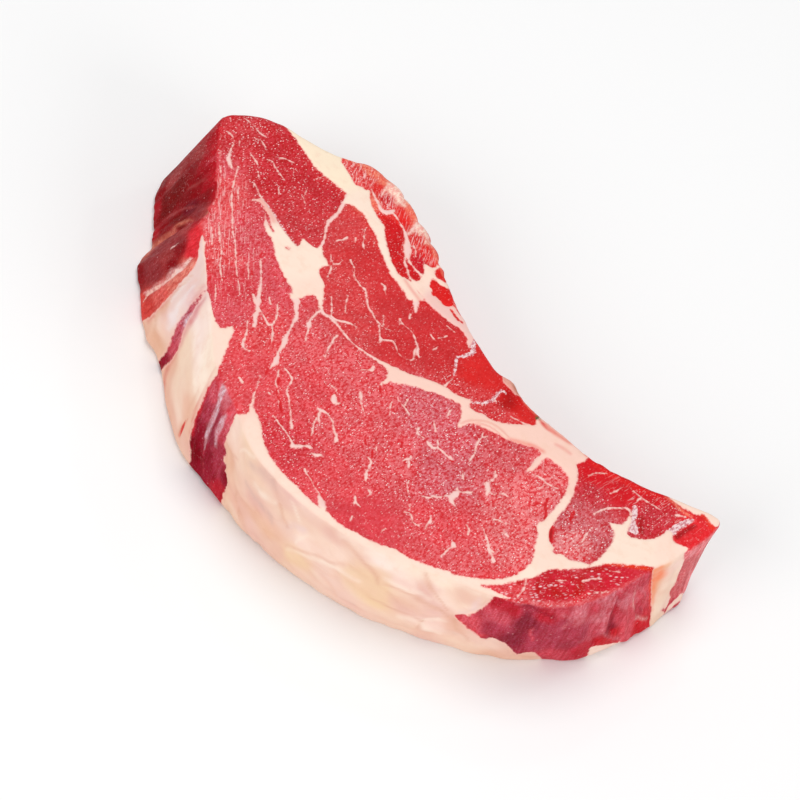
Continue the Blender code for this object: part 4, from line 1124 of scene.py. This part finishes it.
def line_distance(points, knots, margin=FAR + 1):
    """Distance to a line of changing width, negative inside it."""
    line = smooth_line(knots, False, 0.8)
    found = np.full(len(points), margin)
    rows = near_box(points, line, margin)
    near = points[rows]
    nearest = np.full(len(rows), np.inf)
    for start, end in zip(line[:-1], line[1:]):
        share, gap = to_segment(near, start, end)
        nearest = np.minimum(nearest, gap - start[2] - share * (end[2] - start[2]))
    found[rows] = nearest
    return found


def nearest_line(points, lines):
    return np.min([line_distance(points, line) for line in lines], axis=0)


def nearest_area(points, areas):
    return np.min([area_distance(points, area) for area in areas], axis=0)


# ---------------------------------------------------------------- colours between places


def linear(colour):
    """An 8-bit sRGB colour as linear light."""
    share = np.array(colour, float) / 255
    return np.where(share <= 0.04045, share / 12.92, ((share + 0.055) / 1.055) ** 2.4)


def albedo(colour):
    """The base colour that looks like this one in the studio, where the sheen adds white."""
    return np.maximum(linear(colour) - SHEEN, 0.002)


def blended(points, places, values, softness):
    """Values at the points, blended from the places nearest to them."""
    total = np.zeros((len(points), values.shape[1]))
    weights = np.zeros(len(points))
    for place, value in zip(places, values):
        gap = ((points - place) ** 2).sum(1) + softness**2
        weight = gap**-2.5
        total += weight[:, None] * value
        weights += weight
    return total / weights[:, None]


def blended_colours(points, rows, softness, usual=()):
    """The rows' colours, and the value after a place or the usual one, blended between places."""
    listed = [(colour, place) for colour, places in rows for place in places]
    places = np.array([place[:2] for _, place in listed], float)
    values = np.array([(*albedo(colour), *(place[2:] or usual)) for colour, place in listed])
    return blended(points, places, values, softness)


def toned(tint, colour, share):
    """A tint moved towards a colour by a share of the way."""
    return tint + (albedo(colour) - tint) * share[:, None]


def with_lines(tint, points, rows, strength=1.0):
    """A tint with coloured lines drawn over it."""
    for colour, soft, line in rows:
        share = 1 - smoothstep(-soft / 2, soft, line_distance(points, line))
        tint = toned(tint, colour, share * strength)
    return tint


# ---------------------------------------------------------------- what each point is made of


def face_look(points):
    """Fat, silverskin, cuts, tints and specks for places on the cut face."""
    masses = nearest_area(points, MASSES.values())
    fat = np.maximum(masses, -nearest_area(points, ISLANDS.values()))
    fat = np.maximum(fat, -nearest_line(points, ISLAND_LINES.values()))
    fat = np.minimum(fat, nearest_line(points, SEAMS))
    fat = np.minimum(fat, nearest_line(points, MARBLING) + THIN)
    lean = blended_colours(points, FACE_LEAN, 2.0)
    tint = lean[:, :3]
    for colour, soft, corners in FACE_PATCHES:
        tint = toned(tint, colour, 1 - smoothstep(-soft, soft, area_distance(points, corners)))
    fat_tint = blended_colours(points, FACE_FAT, 2.0)
    fat_tint = toned(fat_tint, VEIN, smoothstep(-0.2, 1.0, masses))
    look = {
        "fat": fat,
        "silver": nearest_line(points, SILVER),
        "slit": nearest_line(points, SLITS),
        "lean": with_lines(tint, points, FACE_LEAN_LINES),
        "fat_tint": with_lines(fat_tint, points, FACE_FAT_LINES),
        "speck": lean[:, 3],
        "side": np.zeros(len(points)),
    }
    for name, rows in STREAKS.items():
        look[name] = patches(points, rows)
    return look


def patches(points, rows):
    """Strength of a kind of streak at each point."""
    strength = np.zeros(len(points))
    for x, y, reach, amount in rows:
        gap = np.hypot(points[:, 0] - x, points[:, 1] - y)
        strength = np.maximum(strength, amount * (1 - smoothstep(reach * 0.4, reach, gap)))
    return strength


def side_look(points):
    """The same for places on the side, in (s, h), where the side is cut clean."""
    fat = nearest_area(points, SIDE_MASSES.values())
    fat = np.maximum(fat, -nearest_line(points, SIDE_ISLAND_LINES))
    fat = np.minimum(fat, nearest_line(points, SIDE_SEAMS))
    lean = blended_colours(points, SIDE_LEAN, 1.5, (SIDE_SPECKS,))
    fat_tint = blended_colours(points, SIDE_FAT, 3.0) * fat_mottle_and_crease_shade(points)
    wavy = points + 0.7 * noise_shift(points, 3.2, 53)
    patchy = 0.75 + 0.3 * noise(points, 2.6, 55)
    look = {
        "fat": fat,
        "silver": np.full(len(points), FAR),
        "slit": nearest_line(points, SIDE_SLITS),
        "lean": with_lines(lean[:, :3], wavy, SIDE_LEAN_LINES, patchy),
        "fat_tint": with_lines(fat_tint, wavy, SIDE_FAT_LINES, patchy * 0.8),
        "speck": lean[:, 3],
        "side": np.ones(len(points)),
    }
    for name in STREAKS:
        look[name] = np.zeros(len(points))
    return look


def fat_mottle_and_crease_shade(points):
    """Factors for the fat of the side: darker and redder in the creases of the cap, which is painted shade,
    and mottled all over.
    """
    # painted shade in the creases of the cap
    creases = cap_folds(points)[:, None] * smoothstep(140, 156, points[:, :1])
    slanted = np.column_stack([points[:, 0] * 0.6 + points[:, 1] * 0.5, points[:, 1] * 1.1])
    mottle = noise(slanted, 6.0, 51) * 0.05 + noise(slanted, 2.2, 52) * 0.05
    uneven = mottle[:, None] * (0.4, 1.0, 1.1)
    uneven += noise(slanted, 9.0, 56)[:, None] * (0.0, 0.01, -0.07)
    return (1 - creases * (0.03, 0.08, 0.10)) * (1 + uneven)


def back_look(places, stations):
    """The look of the back of the side, which isn't seen: a cut through the same muscles."""
    look = face_look(back_samples(places, stations))
    look["lean"] = look["lean"] * BACK_SHADE + albedo(MAROON_RED) * (1 - BACK_SHADE)
    look["side"] = np.ones(len(places))
    for name in ("speck", *STREAKS):
        look[name] = look[name] * BACK_SPECKS
    for name in ("silver", "slit"):
        look[name] = np.full(len(places), FAR)
    return look


def back_samples(places, stations):
    """Places of the upper face whose look the back takes on, drawn down its height."""
    below = THICKNESS - places[:, 1]
    drift = 5.0 * noise(places * (0.5, 1), 14.0, 21) + 2.2 * noise(places, 5.5, 23)
    where = (places[:, 0] + drift * smoothstep(0, 16, below) + 0.12 * below) % stations.around
    loop = np.column_stack([stations.upper, outward_normals(stations.upper)])
    full = np.vstack([loop, loop[:1]])
    reach = np.append(stations.s, stations.around)
    taken = np.stack([np.interp(where, reach, full[:, k]) for k in range(4)], 1)
    deep = 1.8 + 0.1 * below + (1.2 + 1.6 * smoothstep(2, 20, below)) * noise(places, 10.0, 22)
    return taken[:, :2] - taken[:, 2:] * deep[:, None]


def whole_side_look(places, flat, stations):
    """The look of the side, from its places in (s, h) and the same places in (x, y)."""
    s, height = places.T
    signed = np.where(s > FRONT_FROM, s - stations.around, s)
    front = side_look(np.column_stack([signed, height]))
    look = mixed_look(front, back_look(places, stations), window(s, *BACK_LOOK))
    # the rounded rim belongs to the cut face
    near = np.flatnonzero(height > THICKNESS - RIM_START)
    share = smoothstep(THICKNESS - RIM_START, THICKNESS - RIM_FULL, height[near])
    low = {name: values[near] for name, values in look.items()}
    for name, values in mixed_look(low, face_look(flat[near]), share).items():
        look[name][near] = values
    return look


def mixed_look(one, two, share):
    """Two looks mixed: one where share is 0 and two where it is 1."""
    mixed = {}
    for name, values in one.items():
        part = share[:, None] if values.ndim == 2 else share
        mixed[name] = values * (1 - part) + two[name] * part
    return mixed


# ---------------------------------------------------------------- relief


def crown_height(x, y, to_rim):
    """The upper face above its rim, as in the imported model."""
    rise = np.minimum(to_rim / 25.0, 1.0)
    waves = np.sin(x / 17.0 + 1.3) * np.cos(y / 13.0) + np.sin((x + y) / 29.0)
    return rise * (2 - rise) * CROWN + np.minimum(to_rim / 12.0, 1.0) * DIMPLE * waves


def face_height(points, to_rim, look):
    """The upper face: the model's crown, fat a little proud, seams and cuts sunk in."""
    x, y = points.T
    height = THICKNESS + crown_height(x, y, to_rim)
    keep = smoothstep(0, 2.5, to_rim)
    fat = look["fat"]
    relief = 0.22 * (1 - smoothstep(-1.0, 0.2, fat))
    relief -= 0.16 * np.exp(-(((fat - 0.25) / 0.35) ** 2))
    relief -= 0.25 * (1 - smoothstep(-0.35, 0.45, look["slit"]))
    lean = smoothstep(-0.2, 0.4, fat)
    relief += lean * (0.10 * noise(points, 4.5, 11) + 0.05 * noise(points, 1.5, 12))
    relief += (1 - lean) * 0.10 * noise(points, 6.0, 13)
    relief += 0.16 * noise(points, 12.0, 14)
    return height + keep * relief


def cap_folds(places):
    """Narrow slanting creases of the fat cap, 1 at their bottom."""
    slanted = places * (0.5, 1) + places[:, 1:] * (0.5, 0)
    return (1 - np.abs(noise(slanted, 9.0, 9))) ** 6


def side_relief(places):
    """How far each place of the side stands out: the drawn dents, then slow unevenness."""
    s, height = places.T
    out = np.zeros(len(places))
    for amount, width, line in SIDE_RELIEF:
        gap = np.maximum(line_distance(places, [(*place, 0.0) for place in line], 3 * width), 0)
        out += amount * np.exp(-((gap / width) ** 2))
    out += 0.25 * noise(places * (1, 0.7), 9.0, 3)
    out += 0.10 * noise(places * (1, 0.6), 3.5, 4)
    back = window(s, *ROUGH_BACK)
    out += back * 0.7 * noise(places * (1, 0.35), 11.0, 5)
    out += back * 0.3 * noise(places * (1, 0.5), 4.0, 6)
    for start, end in zip(CREASES, CREASES[1:]):
        share = np.clip((s - start) / (end - start), 0, 1)
        out += SCALLOP * 0.7 * np.sin(share * math.pi) ** 0.7
    cut = np.maximum(window(s, *END_FACE), 1 - smoothstep(70, 78, s))
    cut *= 1 - window(s, *TAIL_STRIPE)
    out += cut * 0.28 * noise(places * (1, 0.1), 2.8, 8)
    out -= window(s, *CAP_SIDE) * 0.4 * cap_folds(places)
    foot = 1 - smoothstep(2, 12, height)
    line = places * (1, 0)
    out += foot * (0.5 * noise(line, 8.0, 44) + 0.35 * noise(line, 3.6, 45))
    return out


# ---------------------------------------------------------------- the skin


def ring_profile():
    """Heights and insets of the rings, from the lower face to the upper one."""
    turns = [math.pi / 2 * k / ROUND_STEPS for k in range(ROUND_STEPS + 1)]
    high = THICKNESS - UPPER_ROUND
    count = round((high - LOWER_ROUND) / RING_STEP)
    rings = []
    for turn in turns[:-1]:
        rings.append((LOWER_ROUND * (1 - math.cos(turn)), LOWER_ROUND * (1 - math.sin(turn))))
    for k in range(count + 1):
        rings.append((LOWER_ROUND + (high - LOWER_ROUND) * k / count, 0.0))
    for turn in turns[1:]:
        rings.append((high + UPPER_ROUND * math.sin(turn), UPPER_ROUND * (1 - math.cos(turn))))
    return rings


def side_points(stations):
    """Points of the side ring by ring, and the (s, h) of each."""
    normals = outward_normals(stations.upper)
    foot = stations.lower + normals * LOWER_SPREAD
    rings = []
    places = []
    for height, inset in ring_profile():
        share = height / THICKNESS
        level = np.full(len(stations.s), height)
        where = np.stack([stations.s, level], 1)
        bulge = stations.swell * 4 * share * (1 - share) - inset
        fade = min(1, 0.5 + height / 3) * min(1, (THICKNESS - height) / 1.5)
        place = foot * (1 - share) + stations.upper * share
        place = place + normals * (bulge + fade * side_relief(where))[:, None]
        rings.append(np.column_stack([place, level]))
        places.append(where)
    return np.array(rings), np.array(places)


def ring_faces(rings, count):
    """The four-sided faces between rings of count points each."""
    faces = []
    for start in range(0, (rings - 1) * count, count):
        for i in range(count):
            k = (i + 1) % count
            faces.append((start + i, start + k, start + count + k, start + count + i))
    return faces


def hex_grid(loop, step):
    """A slightly uneven triangular grid over the box of a loop."""
    low = loop.min(0)
    high = loop.max(0)
    row = step * math.sqrt(3) / 2
    ys = np.arange(low[1], high[1], row)
    xs = np.arange(low[0], high[0], step)
    grid = np.stack(np.meshgrid(xs, ys), -1)
    grid[1::2, :, 0] += step / 2
    grid = grid.reshape(-1, 2)
    return grid + noise_shift(grid, step * 1.1, 1) * step * 0.18


def tree_of(points):
    tree = KDTree(len(points))
    for i, (x, y) in enumerate(points):
        tree.insert((x, y, 0), i)
    tree.balance()
    return tree


def gaps_to(tree, points):
    return np.array([tree.find((x, y, 0))[2] for x, y in points])


def fixed_points(rim, step, lines):
    """The points of a rim and of the lines inside it, and the edges that join them."""
    rim_tree = tree_of(rim)
    points = [rim]
    edges = [(i, (i + 1) % len(rim)) for i in range(len(rim))]
    first = len(rim)
    for line in lines:
        middle = smooth_line(line, False, step * 1.1)[:, :2]
        middle = middle[inside_loop(middle, rim) & (gaps_to(rim_tree, middle) > step)]
        gaps = np.hypot(*np.diff(middle, axis=0).T)
        edges += [(first + k, first + k + 1) for k in np.flatnonzero(gaps < step * 2.5)]
        points.append(middle)
        first += len(middle)
    return np.concatenate(points), edges


def filled_face(rim, step, lines, rim_first, first):
    """New points inside a rim, and triangles over it with edges along the given lines.

    In the triangles the rim's points are numbered from rim_first and the new ones from first.
    """
    fixed, edges = fixed_points(rim, step, lines)
    grid = hex_grid(rim, step)
    grid = grid[inside_loop(grid, rim)]
    grid = grid[gaps_to(tree_of(fixed), grid) > step * CLEAR]
    flat = [Vector(point) for point in np.concatenate([fixed, grid])]
    made, _, faces, sources, _, _ = delaunay_2d_cdt(flat, edges, [], 1, 1e-5)
    numbers = []
    kept = []
    for point, origins in zip(made, sources):
        on_rim = [index for index in origins if index < len(rim)]
        if on_rim:
            numbers.append(rim_first + on_rim[-1])
        else:
            numbers.append(first + len(kept))
            kept.append(tuple(point))
    return np.array(kept), [[numbers[i] for i in face] for face in faces]


def mapped_to_upper(points):
    """Where the meat at a place of the lower face comes up on the upper one."""
    lower = np.array([row[1] for row in LANDMARKS], float)
    shift = np.array([row[0] for row in LANDMARKS], float) - lower
    return points + blended(points, lower, shift, 12.0)


def steak_skin():
    """The mesh of the steak in metres, with the look of every point stored on it."""
    stations = outline_stations()
    rings, places = side_points(stations)
    side = rings.reshape(-1, 3)
    count = rings.shape[1]
    side_part = whole_side_look(places.reshape(-1, 2), side[:, :2], stations)

    rim = rings[-1][:, :2]
    lines = SEAMS + MARBLING
    top, top_faces = filled_face(rim, TOP_STEP, lines, len(side) - count, len(side))
    top_part = face_look(top)
    top_height = face_height(top, gaps_to(tree_of(rim), top), top_part)

    first = len(side) + len(top)
    low, low_faces = filled_face(rings[0][:, :2], BOTTOM_STEP, [], 0, first)
    low_part = face_look(mapped_to_upper(low) + noise_shift(low, 25.0, 31) * 2.0)

    upper_face = np.column_stack([top, top_height])
    lower_face = np.column_stack([low, np.zeros(len(low))])
    points = np.concatenate([side, upper_face, lower_face])
    parts = (side_part, top_part, low_part)
    look = {name: np.concatenate([part[name] for part in parts]) for name in side_part}
    faces = ring_faces(len(rings), count) + top_faces + [face[::-1] for face in low_faces]
    mesh = bpy.data.meshes.new("steak_skin")
    mesh.from_pydata((points * MM).tolist(), [], faces)
    store(mesh, look)
    mesh.shade_smooth()
    mesh.validate()
    return mesh


def store(mesh, look):
    """Keeps the look on the mesh as attributes that the material reads."""
    for name, values in look.items():
        if values.ndim == 2:
            layer = mesh.attributes.new(name, "FLOAT_COLOR", "POINT")
            colours = np.column_stack([values, np.ones(len(values))])
            layer.data.foreach_set("color", colours.astype(np.float32).ravel())
        else:
            layer = mesh.attributes.new(name, "FLOAT", "POINT")
            layer.data.foreach_set("value", np.clip(values, -FAR, FAR).astype(np.float32))


# ---------------------------------------------------------------- the material


class Nodes:
    """Short calls for building a node tree."""

    def __init__(self, tree):
        self.tree = tree

    def add(self, kind, inputs, output, **settings):
        node = self.tree.nodes.new(kind)
        for name, value in settings.items():
            setattr(node, name, value)
        for name, value in inputs.items():
            if isinstance(value, bpy.types.NodeSocket):
                self.tree.links.new(value, node.inputs[name])
            else:
                node.inputs[name].default_value = value
        return node.outputs[output]

    def attribute(self, name, output="Fac"):
        return self.add("ShaderNodeAttribute", {}, output, attribute_name=name)

    def plus(self, one, two):
        return self.add("ShaderNodeMath", {0: one, 1: two}, 0, operation="ADD")

    def times(self, one, two):
        return self.add("ShaderNodeMath", {0: one, 1: two}, 0, operation="MULTIPLY")

    def ramp(self, value, low, high, start=0.0, end=1.0):
        """Smoothly from start to end, as value goes from low to high."""
        inputs = {"Value": value, "From Min": low, "From Max": high, "To Min": start, "To Max": end}
        return self.add("ShaderNodeMapRange", inputs, "Result", interpolation_type="SMOOTHSTEP")

    def mix(self, factor, one, two, blend="MIX"):
        """Colours mixed by a factor."""
        inputs = {0: factor, 6: one, 7: two}
        return self.add("ShaderNodeMix", inputs, 2, data_type="RGBA", blend_type=blend)

    def mix_numbers(self, factor, one, two):
        return self.add("ShaderNodeMix", {0: factor, 2: one, 3: two}, 0, data_type="FLOAT")

    def noise(self, vector, size, detail, rough=0.6):
        """Noise whose lumps are about size millimetres across."""
        inputs = {"Vector": vector, "Scale": 1 / (size * MM), "Detail": detail, "Roughness": rough}
        return self.add("ShaderNodeTexNoise", inputs, "Fac")

    def dots(self, vector, size, chance):
        """Round specks in cells of about size millimetres, in a share of the cells."""
        inputs = {"Vector": vector, "Scale": 1 / (size * MM)}
        gap = self.add("ShaderNodeTexVoronoi", inputs, "Distance")
        cell = self.add("ShaderNodeSeparateColor", {0: gap.node.outputs["Color"]}, 0)
        return self.times(self.ramp(gap, 0.46, 0.12), self.ramp(cell, 1 - chance, 1.0))

    def shade(self, value):
        """A grey of the given brightness that keeps more of the red."""
        red = self.plus(self.times(value, 0.4), 0.6)
        return self.add("ShaderNodeCombineColor", {0: red, 1: value, 2: value}, 0)

    def stretched(self, vector, factors):
        """Coordinates multiplied by factors, so that a pattern is drawn out where they are small."""
        return self.add("ShaderNodeVectorMath", {0: vector, 1: factors}, 0, operation="MULTIPLY")

    def turned(self, vector, degrees, stretch):
        """Coordinates turned so that +X runs along the fibres, then shortened along them."""
        inputs = {"Vector": vector, "Angle": math.radians(-degrees)}
        turned = self.add("ShaderNodeVectorRotate", inputs, 0, rotation_type="Z_AXIS")
        return self.stretched(turned, (1 / stretch, 1, 1))


def rgba(colour):
    return (*linear(colour), 1.0)


def lean_colour(nodes, place, along, fibre):
    """Bundles of fibre, with pale specks between them, partly fat and partly painted glints, and streaks
    where they show.
    """
    amount = nodes.attribute("speck")
    tint = nodes.attribute("lean", "Color")
    swing = nodes.plus(nodes.times(amount, 0.85), 0.26)
    swing = nodes.add("ShaderNodeMath", {0: swing, 1: 1.0}, 0, operation="MINIMUM")
    richer = nodes.mix(1.0, tint, (0.86, 0.20, 0.24, 1), "MULTIPLY")
    paler = nodes.mix(1.0, tint, (1.05, 1.50, 1.48, 1), "MULTIPLY")
    lean = nodes.mix(swing, tint, nodes.mix(fibre, richer, paler))
    light = nodes.ramp(nodes.noise(place, 7.0, 3.0, 0.5), 0.3, 0.7, 0.92, 1.06)
    lean = nodes.add("ShaderNodeVectorMath", {0: lean, "Scale": light}, 0, operation="SCALE")
    # pale specks in clumps: partly fat, partly painted glints of the wet surface
    clumps = nodes.ramp(nodes.noise(place, 2.4, 2.0, 0.6), 0.36, 0.60, 0.3, 1.15)
    specks = nodes.times(nodes.dots(along, 0.66, 0.85), nodes.times(clumps, amount))
    lean = nodes.mix(specks, lean, rgba(SPECK_GLINT_WHITE))
    for name, degrees, start, strength in FIBRE_STREAKS:
        streaks = nodes.noise(nodes.turned(place, degrees, 9.0), 0.6, 2.0, 0.6)
        share = nodes.times(nodes.ramp(streaks, start, start + 0.12), nodes.attribute(name))
        lean = nodes.mix(nodes.times(share, strength), lean, rgba(STREAK_PINK))
    return lean


def with_torn_corner(nodes, place, lean):
    """The corner is torn rather than cut: dark red gaps, partly its own red and partly painted shade in the
    crevices, with painted glints on the wet tufts between them.
    """
    torn = nodes.attribute("corner")
    tufts = nodes.turned(place, 58, 2.4)
    gaps = nodes.times(nodes.ramp(nodes.noise(tufts, 1.9, 2.0, 0.7), 0.50, 0.38), torn)
    lean = nodes.mix(nodes.times(gaps, 0.7), lean, rgba(TORN_RED_AND_SHADE))
    # painted glints on the tufts
    glints = nodes.times(nodes.dots(tufts, 0.9, 0.9), torn)
    return nodes.mix(nodes.times(glints, 0.9), lean, rgba(TORN_GLINT))


def with_ribs(nodes, place, side, lean):
    """The side shows its fibres as upright ribs, lighter and darker partly by their tone and partly as
    painted shade between them, and a few painted glints.
    """
    ribs = nodes.noise(nodes.stretched(place, (1, 1, 0.14)), 1.3, 3.0, 0.65)
    rib_tone_and_shade = nodes.mix(1.0, lean, nodes.shade(nodes.ramp(ribs, 0.35, 0.65, 0.55, 1.45)), "MULTIPLY")
    lean = nodes.mix(nodes.times(side, 0.65), lean, rib_tone_and_shade)
    # painted glints: a few pale points on the side
    flecks = nodes.times(nodes.dots(place, 1.2, 0.07), nodes.times(side, 0.35))
    return nodes.mix(flecks, lean, rgba(SIDE_GLINT_PINK))


def with_silverskin(nodes, grain, fibre, lean):
    """Silverskin is a granular grey-pink film."""
    film = nodes.plus(nodes.attribute("silver"), nodes.ramp(grain, 0.35, 0.65, 0.32, -0.22))
    colour = nodes.mix(fibre, rgba(SILVER_DARK), rgba(SILVER_PALE))
    return nodes.mix(nodes.ramp(film, 0.32, -0.38, 0.0, 0.88), lean, colour)


def with_fat(nodes, place, side, grain, mottle, lean):
    """Cream fat over the lean, faintly mottled, and pink where it thins out; and its share."""
    wander = nodes.ramp(nodes.noise(place, 1.9, 2.0, 0.5), 0.3, 0.7, -0.26, 0.26)
    ragged = nodes.ramp(grain, 0.3, 0.7, 0.09, -0.09)
    ragged = nodes.times(ragged, nodes.ramp(side, 0.0, 1.0, 1.0, 0.2))
    distance = nodes.plus(nodes.plus(nodes.attribute("fat"), wander), ragged)
    tint = nodes.attribute("fat_tint", "Color")
    fat = nodes.mix(nodes.ramp(mottle, 0.45, 0.75, 0.0, 0.30), tint, rgba(MOTTLE_TAN))
    fat = nodes.mix(nodes.ramp(distance, -0.9, -0.1, 0.0, 0.50), fat, rgba(THIN_FAT))
    share = nodes.ramp(nodes.plus(distance, nodes.times(side, -0.1)), 0.30, -0.44)
    return nodes.mix(share, lean, fat), share


def with_cuts(nodes, colour):
    """Cuts in the meat go red, and dark in their depth, which is painted shade."""
    slit = nodes.attribute("slit")
    colour = nodes.mix(nodes.ramp(slit, 0.34, -0.06, 0.0, 0.9), colour, rgba(CUT_RED))
    return nodes.mix(nodes.ramp(slit, -0.12, -0.50, 0.0, 0.9), colour, rgba(CUT_SHADE))


def meat_material():
    """Raw meat: lean, fat and silverskin, drawn from the distances stored on the skin."""
    material = bpy.data.materials.new("raw_meat")
    material.use_nodes = True
    tree = material.node_tree
    shader = tree.nodes["Principled BSDF"]
    nodes = Nodes(tree)
    place = nodes.add("ShaderNodeTexCoord", {}, "Object")
    side = nodes.attribute("side")
    along = nodes.stretched(place, (1, 0.6, 1))
    grain = nodes.noise(along, 0.85, 3.0, 0.62)
    fibre = nodes.ramp(grain, 0.39, 0.61)
    mottle = nodes.noise(place, 4.0, 3.0, 0.6)
    lean = lean_colour(nodes, place, along, fibre)
    lean = with_torn_corner(nodes, place, lean)
    lean = with_ribs(nodes, place, side, lean)
    lean = with_silverskin(nodes, grain, fibre, lean)
    colour, fat_share = with_fat(nodes, place, side, grain, mottle, lean)
    tree.links.new(with_cuts(nodes, colour), shader.inputs["Base Color"])

    # Moist lean with small glints, and softer fat
    wet = nodes.ramp(nodes.noise(place, 2.4, 2.0), 0.35, 0.65, 0.30, 0.50)
    tree.links.new(nodes.mix_numbers(fat_share, wet, 0.46), shader.inputs["Roughness"])
    gloss = nodes.ramp(side, 0.0, 1.0, 0.13, 0.015)
    tree.links.new(nodes.mix_numbers(fat_share, gloss, 0.10), shader.inputs["Specular IOR Level"])
    height = nodes.mix_numbers(fat_share, grain, nodes.ramp(mottle, 0.2, 0.8, 0.0, 0.5))
    bump = nodes.add("ShaderNodeBump", {"Strength": 0.7, "Distance": 0.25 * MM, "Height": height}, 0)
    tree.links.new(bump, shader.inputs["Normal"])
    return material


# ---------------------------------------------------------------- the stage


def plain_material(name, colour, roughness):
    material = bpy.data.materials.new(name)
    material.use_nodes = True
    shader = material.node_tree.nodes["Principled BSDF"]
    shader.inputs["Base Color"].default_value = colour
    shader.inputs["Roughness"].default_value = roughness
    shader.inputs["Specular IOR Level"].default_value = 0.1
    return material


def add_floor():
    mesh = bpy.data.meshes.new("floor")
    signs = ((-1, -1), (1, -1), (1, 1), (-1, 1))
    corners = [(x * FLOOR_HALF, y * FLOOR_HALF, -FLOOR_DROP) for x, y in signs]
    mesh.from_pydata(corners, [], [(0, 1, 2, 3)])
    mesh.materials.append(plain_material("white_floor", (0.97, 0.97, 0.97, 1), 0.8))
    floor = bpy.data.objects.new("floor", mesh)
    bpy.context.scene.collection.objects.link(floor)


def add_softbox(name, place, aim_height, size, power):
    light = bpy.data.lights.new(name, "AREA")
    light.shape = "DISK"
    light.size = size
    light.energy = power
    lamp = bpy.data.objects.new(name, light)
    lamp.location = place
    aim = Vector((0, 0, aim_height))
    lamp.rotation_euler = (aim - Vector(place)).to_track_quat("-Z", "Y").to_euler()
    bpy.context.scene.collection.objects.link(lamp)


def add_lights():
    world = bpy.data.worlds.new("studio")
    world.use_nodes = True
    background = world.node_tree.nodes["Background"]
    background.inputs["Color"].default_value = (1.0, 1.0, 1.0, 1)
    background.inputs["Strength"].default_value = WORLD_LIGHT
    bpy.context.scene.world = world
    for softbox in SOFTBOXES:
        add_softbox(*softbox)


def add_camera():
    right = Vector((math.cos(AZIMUTH), math.sin(AZIMUTH), 0))
    flat = math.cos(ELEVATION)
    back = Vector((math.sin(AZIMUTH) * flat, -math.cos(AZIMUTH) * flat, math.sin(ELEVATION)))
    up = back.cross(right)
    across = right * math.cos(ROLL) + up * math.sin(ROLL)
    upward = up * math.cos(ROLL) - right * math.sin(ROLL)
    data = bpy.data.cameras.new("camera")
    data.lens = LENS
    data.sensor_width = SENSOR
    camera = bpy.data.objects.new("camera", data)
    turn = Matrix((across, upward, back)).transposed()
    camera.matrix_world = Matrix.Translation(TARGET + back * DISTANCE) @ turn.to_4x4()
    bpy.context.scene.collection.objects.link(camera)
    bpy.context.scene.camera = camera


def main():
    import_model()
    add_camera()
    add_lights()
    add_floor()
    mesh = steak_skin()
    mesh.materials.append(meat_material())
    skin = bpy.data.objects.new("steak_skin", mesh)
    bpy.context.scene.collection.objects.link(skin)
    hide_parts("steak")
    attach(skin, "root")
    bpy.context.scene.view_settings.view_transform = "Standard"


main()
